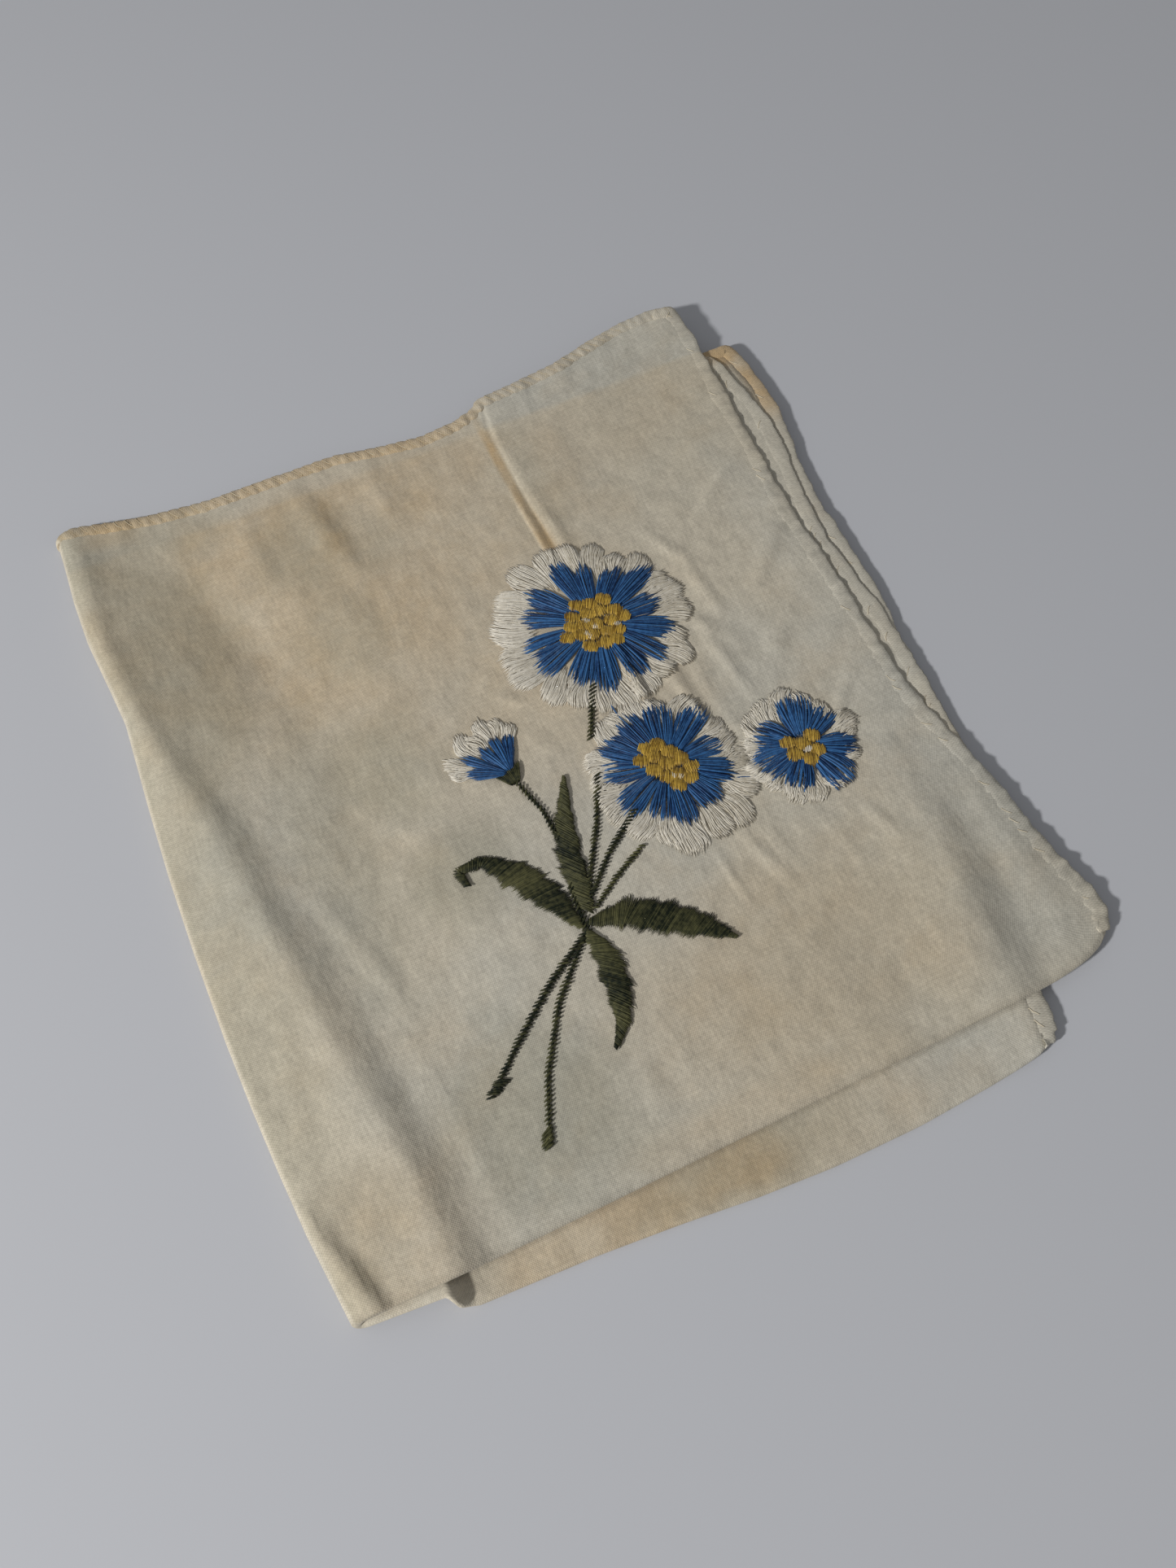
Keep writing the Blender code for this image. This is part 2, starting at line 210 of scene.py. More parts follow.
# Creases of the front layer
CREASES = (
    # the folded corner
    Ridge(-1.6, 19, 8.4, -12, 3.5, 2.6, 1.5),
    # lower right
    Ridge(104.6, -14, 109.6, 46, 14, 6.6, 1.45),
    Ridge(109.5, 12, 115, 46, 7, 5.0, 0.55),
    Ridge(119.8, -4, 117.8, 44, 5, 5, 0.45),
    # end of the tuck
    Ridge(76.2, 121, 76.6, 98, 0.8, 1.6, 0.45),
    Ridge(79.6, 119, 81.0, 96, 2.4, 0.8, 0.50),
    # round the flowers
    Ridge(78.6, 83, 79.0, 65, 1.7, 1.4, 0.85),
    Ridge(84.6, 79, 86.0, 57, 1.6, 2.0, 0.60),
    Ridge(88.8, 77, 90.2, 57, 1.6, 1.4, 0.25),
    Ridge(93.6, 82, 95.4, 60, 1.6, 1.6, 0.45),
    Ridge(104, 51, 113, 61, 1.4, 1.2, 0.55),
    Ridge(109, 58.4, 121, 60.4, 1.4, 1.2, 0.45),
    Ridge(106, 51, 118, 50, 1.4, 1.4, 0.40),
    Ridge(104, 45.5, 113, 46, 1.2, 1.4, 0.45),
    Ridge(107, 54, 117, 55, 1.2, 1.4, 0.25),
    Ridge(101, 40, 104.5, 29, 1.2, 1.0, 0.45),
    Ridge(94.5, 41, 97.0, 27, 1.4, 1.4, 0.25),
    Ridge(80.8, 44.5, 85.6, 29, 1.3, 0.9, 0.45),
    Ridge(85.0, 43, 87.8, 30, 1.1, 1.1, 0.25),
    Ridge(76.5, 41, 77.2, 29, 1.2, 1.2, 0.22),
    Ridge(88, 61, 94, 54, 1.3, 1.3, 0.45),
    Ridge(87, 53, 92, 46, 1.1, 1.1, 0.40),
    Ridge(93, 101, 99, 90, 1.5, 1.4, 0.60),
    Ridge(97, 92, 98.6, 78, 1.5, 1.3, 0.55),
    Ridge(92, 82, 99, 72, 1.2, 1.4, 0.45),
    Ridge(101, 97, 119, 111, 2.0, 1.7, 0.40),
    Ridge(104, 80, 119, 95, 3.0, 2.4, 0.45),
    Ridge(99, 65, 110, 76, 3.4, 2.8, 0.35),
    Ridge(108, 66, 119, 71, 2.0, 1.8, 0.30),
    Ridge(112, 84, 120, 83, 1.6, 1.6, 0.30),
    Ridge(55, 82, 62, 76.5, 1.2, 1.2, 0.45),
    Ridge(54, 88, 59, 83, 1.1, 1.1, 0.20),
    Ridge(57, 73, 62, 66, 1.6, 2.4, 0.25),
    Ridge(46, 79, 53, 81, 1.3, 1.3, 0.20),
    Ridge(57, 61, 60.5, 68, 1.2, 1.2, 0.18),
    # slack of the left half
    Ridge(40.4, 139, 45.4, 110, 4.4, 3.4, 0.60),
    Ridge(28.6, 142, 30.5, 118, 4.6, 3.0, 0.32),
    Ridge(53, 139, 56, 118, 3.4, 4.0, 0.36),
    Ridge(28, 108, 30, 80, 5.0, 6.0, 0.35),
    Ridge(36, 98, 33, 70, 4.0, 5.0, 0.16),
    Ridge(31, 68, 41, 55, 2.2, 1.8, 0.22),
    Ridge(17, 62, 25.4, 32, 2.4, 2.8, 0.36),
    Ridge(6.4, 48, 2.0, 16, 1.6, 1.4, 0.16),
    Ridge(23, 34, 26.4, -6, 2.6, 2.0, 0.20),
    Ridge(46, 52, 43, 30, 3.0, 3.0, 0.12),
    Ridge(52, 20, 49.5, -4, 2.4, 2.0, 0.14),
    Ridge(84, 28, 82.5, 2, 4.0, 3.6, 0.14),
    Ridge(94, 40, 96, 6, 4.4, 4.0, 0.16),
    Ridge(66, 25, 64, 0, 4.0, 3.0, 0.12),
)

# The tuck's sharp riser, by height up the cloth: where it stands, its height, and how
# wide its rise is
Riser = namedtuple("Riser", "up x height rise")
TUCK = (
    Riser(96, 79.2, 0.0, 2.4), Riser(104, 78.7, 0.22, 1.8), Riser(112, 78.3, 0.40, 1.4),
    Riser(122, 78.2, 0.44, 1.2), Riser(132, 78.4, 0.44, 1.2), Riser(138, 79.4, 0.44, 1.3),
    Riser(143, 79.9, 0.40, 1.6),
)
TUCK_FALL = 13.0 * MM

# Fine relief of the front layer: heights, and how far in from its hem each fades out
WHIP_GATHER = 0.10 * MM
WHIP_GATHER_REACH = 4.6 * MM
GATHER = 0.13 * MM
GATHER_REACH = 11.0 * MM
PUCKER = 0.10 * MM
PUCKER_REACH = 5.6 * MM
SLACK = 0.07 * MM


# Fold geometry

def edge_at(table, along):
    """Position of an edge, in metres, at distances along it in metres."""
    places = [row.along * MM for row in table]
    values = [row.across * MM for row in table]
    return np.interp(along, places, values)


def smooth(value):
    """Soft step from 0 to 1."""
    clipped = np.clip(value, 0.0, 1.0)
    return clipped * clipped * (3.0 - 2.0 * clipped)


def ridge_relief(ridge, x, y):
    """Height of one soft ridge, which fades out at both ends."""
    run_x = (ridge.end_x - ridge.start_x) * MM
    run_y = (ridge.end_y - ridge.start_y) * MM
    length = math.hypot(run_x, run_y)
    from_x = x - ridge.start_x * MM
    from_y = y - ridge.start_y * MM
    along = (from_x * run_x + from_y * run_y) / length ** 2
    turned = math.copysign(1.0, run_y)
    side = (from_x * run_y - from_y * run_x) / length * turned
    width = np.where(side < 0, ridge.left * MM, ridge.right * MM)
    profile = smooth(1.0 - np.abs(side) / width)
    fade = np.sin(np.clip(along, 0.0, 1.0) * math.pi)
    return ridge.height * MM * profile * fade


def front_profile(x, y):
    """Height of the front layer before softening and creases."""
    places = [row.up * MM for row in PROFILES]

    def column(name):
        return np.interp(y, places, [getattr(row, name) * MM for row in PROFILES])

    stops = (
        (edge_at(LEFT_FOLD_X, y), column("edge")),
        (column("crest_x"), column("crest")),
        (column("flank_x"), column("flank")),
        (column("foot_x"), column("foot")),
        (LEFT_X, column("left")),
        (MIDDLE_X, column("middle")),
        (RIGHT_X, column("right")),
        (HEM_X, column("hem")),
    )
    total = stops[0][1].copy()
    for (start, low), (end, high) in zip(stops, stops[1:]):
        total = total + (high - low) * np.clip((x - start) / (end - start), 0.0, 1.0)
    return total


def front_base(x, y):
    """The front layer's height, softened."""
    total = np.zeros_like(x)
    for step in SOFTENING:
        total = total + front_profile(x + step, y + 3.0 * step)
        total = total + front_profile(x + step, y - 3.0 * step)
    return total / (2 * len(SOFTENING))


def tuck_relief(x, y):
    """A sharp rise to the left and a slow fall to the right."""
    places = [row.up * MM for row in TUCK]
    middle = np.interp(y, places, [row.x * MM for row in TUCK])
    height = np.interp(y, places, [row.height * MM for row in TUCK])
    rise = np.interp(y, places, [row.rise * MM for row in TUCK])
    up = smooth((x - middle) / rise + 0.5)
    down = smooth((middle + rise / 2 + TUCK_FALL - x) / TUCK_FALL)
    return height * up * down


def front_relief(x, y):
    """Fine relief of the front layer alone."""
    total = tuck_relief(x, y)
    for ridge in CREASES:
        total = total + ridge_relief(ridge, x, y)
    # Gathers below the whipped top hem, a deep one at each stitch
    from_top = edge_at(FRONT_TOP_Y, x) - y
    lean = x + 0.30 * from_top
    stitched = np.cos(2 * math.pi * lean / STITCH_PITCH)
    total = total + WHIP_GATHER * stitched * smooth(1.0 - from_top / WHIP_GATHER_REACH)
    gathers = np.sin(lean / (0.95 * MM)) * np.sin(lean / (3.1 * MM) + 1.0)
    total = total + GATHER * gathers * smooth(1.0 - from_top / GATHER_REACH)
    # Puckers along the right hem
    from_right = edge_at(FRONT_RIGHT_X, y) - x
    lean = y - 0.25 * from_right
    puckers = np.sin(lean / (0.46 * MM)) + 0.9 * np.sin(lean / (0.81 * MM) + 2.0)
    total = total + PUCKER * puckers * smooth(1.0 - from_right / PUCKER_REACH)
    # Slack of the whole cloth
    slack = (
        np.sin(x / (4.3 * MM) + 1.8 * np.sin(y / (17.0 * MM)))
        * np.sin(y / (9.0 * MM) + 0.4 + 1.6 * np.sin(x / (13.0 * MM)))
    )
    return total + SLACK * slack


def back_lift(level, x, y):
    """How far both ends of the first fold are lifted, most of all the back pair."""
    along = smooth((x - LIFT_FROM) / (LIFT_FULL - LIFT_FROM))
    along = along * (1.0 - smooth((x - LIFT_DROP) / (LIFT_END - LIFT_DROP)))
    share = np.interp(level, LEVELS, (1.0, 1.0, 0.6, 0.0))
    corner = LIFT * share * along * smooth(1.0 - y / LIFT_UP)
    end = smooth((x - END_LIFT_FROM) / (END_LIFT_FULL - END_LIFT_FROM))
    return corner + END_LIFT * share * end * smooth(1.0 - y / END_LIFT_UP)


def height_at(level, x, y, front_share):
    """Height of the sheet's middle surface."""
    packed = smooth((x - PACKED_FROM) / (PACKED_FULL - PACKED_FROM)) * smooth(y / (60.0 * MM))
    share = np.interp(level, LEVELS, LEVEL_SHARES)
    share = share + packed * (np.interp(level, LEVELS, PACKED_SHARES) - share)
    half = CLOTH_THICKNESS / 2
    front = front_base(x, y)
    height = half + share * (front - half)
    room = front - (FRONT_LEVEL - level) * LAYER_GAP - height
    height = height + np.clip(room, 0.0, back_lift(level, x, y))
    return height + front_share * front_relief(x, y)


def seen_place(level, x, y, z):
    """Plan places that were read from above at the solid's heights, set right for z."""
    above = (CLOTH_THICKNESS / 2 + level * FOLD_PITCH - z) / (CAMERA_PLACE[2] * MM)
    return (
        x + above * (x - CAMERA_PLACE[0] * MM),
        y + above * (y - CAMERA_PLACE[1] * MM),
    )


def on_front(x, y, lift):
    """Points on the front layer's upper face, raised a little."""
    z = height_at(np.full_like(x, FRONT_LEVEL), x, y, 1.0) + CLOTH_THICKNESS / 2
    x, y = seen_place(FRONT_LEVEL, x, y, z)
    return np.stack([x, y, z + lift], axis=-1)


def fold_stations(radius, steps, places):
    """Stations of a sheet from the outside of a fold to its hem.

    Each is the distance from the fold's outermost point, with the sine and the
    cosine of the turn reached there.
    """
    stations = []
    for step in range(steps + 1):
        turn = step / steps * math.pi / 2
        stations.append((radius * (1.0 - math.cos(turn)), math.sin(turn), math.cos(turn)))
    for place in places:
        stations.append((place, 1.0, 0.0))
    return stations


def both_sides(first, second):
    """Stations across a whole fold: the second side turned over, then the first."""
    turned = [(run, -sine, cosine) for run, sine, cosine in reversed(second[1:])]
    return np.array(turned + first)


def even_places(start, end, step):
    """Places spread evenly after start, up to end."""
    count = math.ceil((end - start) / step)
    return list(start + (end - start) * np.arange(1, count + 1) / count)


def stretch(run, nominal, actual):
    """Spread a nominal distance over the actual one, but not close to the fold."""
    share = np.clip((run - KEEP_NEAR_FOLD) / (nominal - KEEP_NEAR_FOLD), 0.0, 1.0)
    return run + share * (actual - nominal)


def place_on_layer(run_x, run_y, bottom, top, right):
    """Plan position of sheet points on one layer's outline, less the hem's reach."""
    x = run_x.copy()
    y = run_y.copy()
    for _ in range(PLAN_PASSES):
        left = edge_at(LEFT_FOLD_X, y) + FOLD_PITCH / 2
        x = left + stretch(run_x, QUARTER_WIDTH, edge_at(right, y) - RIGHT_HEM_INSET - left)
        base = edge_at(bottom, x)
        y = base + stretch(run_y, QUARTER_HEIGHT, edge_at(top, x) - TOP_HEM_INSET - base)
    return x, y


def sheet_stations():
    """Stations across (columns) and up (rows) the unfolded cloth."""
    front = (
        even_places(FOLD_PITCH, TUCK_FROM, FINE_STEP)
        + even_places(TUCK_FROM, TUCK_TO, TUCK_STEP)
        + even_places(TUCK_TO, QUARTER_WIDTH, FINE_STEP)
    )
    back = (
        even_places(FOLD_PITCH, DROP_FROM, COARSE_STEP)
        + even_places(DROP_FROM, DROP_TO, DROP_STEP)
        + even_places(DROP_TO, QUARTER_WIDTH, COARSE_STEP)
    )
    outer = even_places(BOTTOM_FOLD_RADIUS, QUARTER_HEIGHT, FINE_STEP)
    inner = (
        even_places(BOTTOM_FOLD_RADIUS, STRIP_TO, FINE_STEP)
        + even_places(STRIP_TO, QUARTER_HEIGHT, COARSE_STEP)
    )
    columns = both_sides(
        fold_stations(FOLD_PITCH, LEFT_FOLD_STEPS, front),
        fold_stations(FOLD_PITCH, LEFT_FOLD_STEPS, back),
    )
    rows = both_sides(
        fold_stations(BOTTOM_FOLD_RADIUS, BOTTOM_FOLD_STEPS, outer),
        fold_stations(BOTTOM_FOLD_RADIUS, BOTTOM_FOLD_STEPS, inner),
    )
    return columns, rows


def folded_points(columns, rows):
    """Points of the middle surface of the whole folded cloth."""
    column_run, column_sine, column_cosine = columns.T[:, :, None]
    row_run, row_sine = rows.T[:2, None, :]
    offset = row_sine / 2
    run_x = column_run - column_cosine * offset * FOLD_PITCH
    run_y = np.broadcast_to(row_run, run_x.shape)
    level = MIDDLE_LEVEL + column_sine * (1.0 + offset)

    front = place_on_layer(run_x, run_y, FRONT_BOTTOM_Y, FRONT_TOP_Y, FRONT_RIGHT_X)
    second = place_on_layer(run_x, run_y, SECOND_BOTTOM_Y, SECOND_TOP_Y, SECOND_RIGHT_X)
    third = place_on_layer(run_x, run_y, BACK_PAIR_BOTTOM_Y, INNER_TOP_Y, THIRD_RIGHT_X)
    back = place_on_layer(run_x, run_y, BACK_PAIR_BOTTOM_Y, BACK_TOP_Y, BACK_RIGHT_X)

    upper = (1.0 + column_sine) / 2
    outer = (1.0 + row_sine) / 2
    x, y = (
        upper * (outer * front[k] + (1.0 - outer) * second[k])
        + (1.0 - upper) * (outer * back[k] + (1.0 - outer) * third[k])
        for k in range(2)
    )
    front_share = smooth((level - 2.2) / 0.8) * outer * upper
    z = height_at(level, x, y, front_share)
    read = np.stack([x, y], axis=-1)
    x, y = seen_place(level, x, y, z)
    return np.stack([x, y, z], axis=-1), read, level


# Mesh helpers

def new_object(name, vertices, faces, material):
    """A smooth mesh object, with its vertices given from the folded corner."""
    mesh = bpy.data.meshes.new(name)
    mesh.from_pydata((np.asarray(vertices) + CORNER).tolist(), [], faces)
    mesh.validate()
    mesh.shade_smooth()
    mesh.materials.append(material)
    piece = bpy.data.objects.new(name, mesh)
    bpy.context.scene.collection.objects.link(piece)
    return piece


def store(piece, name, values):
    """Keep one number a vertex on the mesh, for its material."""
    layer = piece.data.attributes.new(name, "FLOAT", "POINT")
    layer.data.foreach_set("value", np.asarray(values, dtype=np.float32).ravel())


def grid_quads(columns, rows):
    """Quads over a grid of points."""
    corner = np.arange(columns - 1)[:, None] * rows + np.arange(rows - 1)[None, :]
    corner = corner.ravel()
    return np.stack([corner, corner + rows, corner + rows + 1, corner + 1], axis=-1)


class Threads:
    """Many thin thread tubes, gathered into one mesh."""

    def __init__(self, sides=5, flatness=0.75):
        self.sides = sides
        self.flatness = flatness
        self.free = {}
        self.laid = {}

    def add(self, points, radius, tone):
        """One thread along some points, with its colour tone from 0 to 1."""
        points = np.asarray(points, dtype=float)
        self.free.setdefault(len(points), []).append((points, radius, tone))

    def lay(self, plan, lift, radius, tone):
        """One thread over the front layer, from its plan places and its lift."""
        rows = np.column_stack([plan, np.broadcast_to(lift, len(plan))])
        tone = min(max(tone, 0.0), 1.0)
        self.laid.setdefault(len(rows), []).append((rows, radius, tone))

    def bundles(self):
        """Equally long threads together: their points, radii and tones."""
        for table, on_cloth in ((self.free, False), (self.laid, True)):
            for rows in table.values():
                points = np.array([row[0] for row in rows])
                if on_cloth:
                    points = on_front(points[..., 0], points[..., 1], points[..., 2])
                radii, tones = (np.array([row[k] for row in rows]) for k in (1, 2))
                yield points, radii, tones

    def build(self, name, material):
        """The mesh object: closed tubes that taper at both ends."""
        vertices, faces, tones, alongs = [], [], [], []
        first = 0
        for points, radii, tone in self.bundles():
            number, count = points.shape[:2]
            block, quads, triangles = self.tubes(points, radii)
            vertices.append(block)
            faces.extend((quads + first).tolist())
            faces.extend((triangles + first).tolist())
            tones.append(np.repeat(tone, block.shape[0] // number))
            along = np.repeat(np.arange(1, count - 1) / (count - 1), self.sides)
            alongs.append(np.tile(np.concatenate([[0.0], along, [1.0]]), number))
            first += block.shape[0]
        piece = new_object(name, np.concatenate(vertices), faces, material)
        store(piece, "tone", np.concatenate(tones))
        store(piece, "along", np.concatenate(alongs))
        return piece

    def tubes(self, points, radii):
        """Vertices and faces of tubes through equally many points each."""
        number, count = points.shape[:2]
        tangent = np.gradient(points, axis=1)
        tangent /= np.linalg.norm(tangent, axis=2, keepdims=True)
        side = np.cross(tangent, [0.0, 0.0, 1.0])
        side /= np.linalg.norm(side, axis=2, keepdims=True)
        above = np.cross(side, tangent)
        where = np.arange(1, count - 1) / (count - 1)
        taper = np.minimum(1.0, 0.55 + 2.2 * np.minimum(where, 1.0 - where))
        angles = np.arange(self.sides) * 2 * math.pi / self.sides
        radius = (radii[:, None] * taper)[:, :, None, None]
        ring = (
            points[:, 1:-1, None, :]
            + radius * np.cos(angles)[None, None, :, None] * side[:, 1:-1, None, :]
            + radius * self.flatness * np.sin(angles)[None, None, :, None]
            * above[:, 1:-1, None, :]
        ).reshape(number, -1, 3)
        block = np.concatenate([points[:, :1], ring, points[:, -1:]], axis=1)
        size = block.shape[1]
        turn = np.arange(self.sides)
        after = (turn + 1) % self.sides
        quads = []
        for step in range(count - 3):
            low = 1 + step * self.sides
            high = low + self.sides
            quads.append(np.stack([low + turn, low + after, high + after, high + turn], -1))
        last = 1 + (count - 3) * self.sides
        start = np.stack([np.zeros_like(turn), 1 + after, 1 + turn], -1)
        end = np.stack([np.full_like(turn, size - 1), last + turn, last + after], -1)
        triangles = np.concatenate([start, end])
        shift = (np.arange(number) * size)[:, None, None]
        quads = (np.concatenate(quads)[None] + shift).reshape(-1, 4)
        triangles = (triangles[None] + shift).reshape(-1, 3)
        return block.reshape(-1, 3), quads, triangles


# Materials

class Graph:
    """Short ways to add nodes to a material."""

    def __init__(self, name):
        self.material = bpy.data.materials.new(name)
        self.material.use_nodes = True
        self.tree = self.material.node_tree
        self.shader = self.tree.nodes["Principled BSDF"]

    def put(self, socket, value):
        """Set a socket's value, or link another socket to it."""
        if isinstance(value, bpy.types.NodeSocket):
            self.tree.links.new(value, socket)
        elif value is not None:
            socket.default_value = value

    def node(self, kind, output=0, settings=None, **inputs):
        node = self.tree.nodes.new(kind)
        for key, value in (settings or {}).items():
            setattr(node, key, value)
        for key, value in inputs.items():
            self.put(node.inputs[key.replace("_", " ")], value)
        return node.outputs[output]

    def math(self, operation, first, second=None, third=None):
        node = self.tree.nodes.new("ShaderNodeMath")
        node.operation = operation
        for socket, value in zip(node.inputs, (first, second, third)):
            self.put(socket, value)
        return node.outputs[0]

    def mix(self, share, first, second, blend="MIX"):
        node = self.tree.nodes.new("ShaderNodeMix")
        node.data_type = "RGBA"
        node.blend_type = blend
        self.put(node.inputs[0], share)
        self.put(node.inputs[6], first)
        self.put(node.inputs[7], second)
        return node.outputs[2]

    def fit(self, value, from_low, from_high, to_low=0.0, to_high=1.0):
        node = self.tree.nodes.new("ShaderNodeMapRange")
        node.interpolation_type = "SMOOTHSTEP"
        for socket, number in zip(node.inputs, (value, from_low, from_high, to_low, to_high)):
            self.put(socket, number)
        return node.outputs[0]

    def attribute(self, name):
        node = self.tree.nodes.new("ShaderNodeAttribute")
        node.attribute_name = name
        return node.outputs["Fac"]

    def noise(self, vector, scale, detail=3.0, roughness=0.5):
        return self.node(
            "ShaderNodeTexNoise", 0, None,
            Vector=vector, Scale=scale, Detail=detail, Roughness=roughness,
        )

    def shade(self, place, look):
        """Smooth noise, spread from a look's least to its most."""
        value = self.noise(place, look.scale, look.detail, look.roughness)
        return self.fit(value, look.low, look.high, look.least, look.most)

    def scaled(self, vector, factors):
        node = self.tree.nodes.new("ShaderNodeVectorMath")
        node.operation = "MULTIPLY"
        self.put(node.inputs[0], vector)
        node.inputs[1].default_value = factors
        return node.outputs[0]

    def bump(self, height, distance, strength=1.0, normal=None):
        node = self.tree.nodes.new("ShaderNodeBump")
        node.inputs["Strength"].default_value = strength
        node.inputs["Distance"].default_value = distance
        self.put(node.inputs["Height"], height)
        self.put(node.inputs["Normal"], normal)
        return node.outputs[0]


CREAM = (0.56, 0.502, 0.393, 1.0)
GREY_LINEN = (0.525, 0.497, 0.42, 1.0)
STAIN = (0.535, 0.385, 0.215, 1.0)
HEM_GROOVE = (0.43, 0.30, 0.15, 1.0)
# Painted shadow colour for the line along the front layer's bottom edge
PAINTED_EDGE_SHADOW = (0.17, 0.14, 0.10, 1.0)
# Painted shade tint, multiplied in where the cloth lies in shade
PAINTED_SHADE_TINT = (0.72, 0.73, 0.70, 1.0)
THREAD_PITCH = 0.40 * MM
GAP_SHADE = 0.20
WEAVE_SHARE = 0.30
WANDER_SHARE = 0.4

# Uneven shades of the linen: the noise, the part of it that counts, and what it gives
Shade = namedtuple("Shade", "scale detail roughness low high least most")
CLOUDS = Shade(45.0, 4.0, 0.55, 0.35, 0.70, -0.25, 0.30)
BLOTCHES = Shade(90.0, 5.0, 0.6, 0.30, 0.70, 0.62, 1.30)
AGEING = Shade(70.0, 4.0, 0.6, 0.45, 0.75, 0.0, 0.16)
MOTTLE = Shade(300.0, 5.0, 0.6, 0.30, 0.70, 0.94, 1.06)
SPECKLE = Shade(1900.0, 2.0, 0.6, 0.30, 0.70, 0.93, 1.07)

# The linen's fine relief: its height, and how strongly it shows
CRUMPLE_BUMP = (0.9 * MM, 0.55)
WRINKLE_BUMP = (0.20 * MM, 0.30)
THREAD_BUMP = (0.05 * MM, 0.8)


def linen(name):
    """Aged plain-weave linen lawn."""
    graph = Graph(name)
    place = graph.node("ShaderNodeTexCoord", 3)
    weave_place = graph.node("ShaderNodeUVMap", 0, {"uv_map": "weave"})
    parts = graph.tree.nodes.new("ShaderNodeSeparateXYZ")
    graph.tree.links.new(weave_place, parts.inputs[0])

    # Plain weave: threads over and under by turns, each a little thicker or thinner
    turn = 2 * math.pi / THREAD_PITCH
    warp = graph.math("SINE", graph.math("MULTIPLY", parts.outputs[0], turn))
    weft = graph.math("SINE", graph.math("MULTIPLY", parts.outputs[1], turn))
    weave = graph.math("MULTIPLY", warp, weft)
    warp_wander = graph.noise(graph.scaled(weave_place, (1.0, 0.16, 1.0)), 2300.0, 1.0)
    weft_wander = graph.noise(graph.scaled(weave_place, (0.16, 1.0, 1.0)), 2300.0, 1.0)
    wander = graph.math("SUBTRACT", graph.math("ADD", warp_wander, weft_wander), 1.0)
    threads = graph.math(
        "MULTIPLY_ADD", weave, WEAVE_SHARE, graph.math("MULTIPLY", wander, WANDER_SHARE))

    # Colour: cream, with greyer and yellowed places, then painted shade and a painted shadow
    # line
    cloudy = graph.shade(place, CLOUDS)
    grey = graph.math("ADD", graph.attribute("grey"), cloudy)
    colour = graph.mix(graph.math("MAXIMUM", grey, 0.0), CREAM, GREY_LINEN)
    blotches = graph.shade(place, BLOTCHES)
    aged = graph.shade(place, AGEING)
    stain = graph.math("MULTIPLY_ADD", graph.attribute("stain"), blotches, aged)
    colour = graph.mix(stain, colour, STAIN)
    colour = graph.mix(graph.attribute("groove"), colour, HEM_GROOVE)
    # Painted shade: darker where the cloth lies in shade
    colour = graph.mix(graph.attribute("painted_shade"), colour, PAINTED_SHADE_TINT, "MULTIPLY")
    # Painted shadow: a dim line along the front layer's bottom edge, on its fold and on the
    # layers below
    gap = graph.math("MULTIPLY", graph.attribute("gap"), 1000.0)
    below = graph.fit(gap, -0.9, -0.1, 0.0, GAP_SHADE)
    above = graph.fit(gap, 1.5, -0.1, 0.0, GAP_SHADE)
    colour = graph.mix(graph.math("MINIMUM", below, above), colour, PAINTED_EDGE_SHADOW)

    mottle = graph.shade(place, MOTTLE)
    speckle = graph.shade(place, SPECKLE)
    grain = graph.fit(threads, -0.42, 0.42, 0.86, 1.14)
    shade = graph.math("MULTIPLY", graph.math("MULTIPLY", speckle, mottle), grain)
    tint = graph.node("ShaderNodeCombineColor", 0, None, Red=shade, Green=shade, Blue=shade)
    graph.put(graph.shader.inputs["Base Color"], graph.mix(1.0, colour, tint, "MULTIPLY"))

    # Soft crumples, fine lengthwise wrinkles, then the threads
    crumple = graph.noise(graph.scaled(place, (1.0, 0.55, 1.0)), 170.0, 3.0, 0.5)
    wrinkle = graph.noise(graph.scaled(place, (1.0, 0.45, 1.0)), 600.0, 3.0, 0.55)
    normal = graph.bump(crumple, *CRUMPLE_BUMP)
    normal = graph.bump(wrinkle, *WRINKLE_BUMP, normal)
    normal = graph.bump(threads, *THREAD_BUMP, normal)
    graph.put(graph.shader.inputs["Normal"], normal)
    graph.shader.inputs["Roughness"].default_value = 0.9
    graph.shader.inputs["Specular IOR Level"].default_value = 0.2
    graph.shader.inputs["Sheen Weight"].default_value = 0.12
    graph.shader.inputs["Sheen Roughness"].default_value = 0.5
    return graph.material


ThreadLook = namedtuple("ThreadLook", "name dark light roughness sheen specular")
HEM_THREAD = ThreadLook(
    "hem_thread", (0.46, 0.37, 0.23, 1.0), (0.60, 0.53, 0.40, 1.0), 0.5, 0.25, 0.35)
BLUE_THREAD = ThreadLook(
    "blue_thread", (0.004, 0.033, 0.112, 1.0), (0.036, 0.138, 0.33, 1.0), 0.5, 0.13, 0.3)
YELLOW_THREAD = ThreadLook(
    "yellow_thread", (0.22, 0.12, 0.010, 1.0), (0.64, 0.415, 0.062, 1.0), 0.5, 0.25, 0.35)
WHITE_THREAD = ThreadLook(
    "white_thread", (0.48, 0.43, 0.335, 1.0), (0.74, 0.69, 0.59, 1.0), 0.5, 0.25, 0.35)
GREEN_THREAD = ThreadLook(
    "green_thread", (0.005, 0.009, 0.003, 1.0), (0.110, 0.106, 0.042, 1.0), 0.6, 0.06, 0.25)


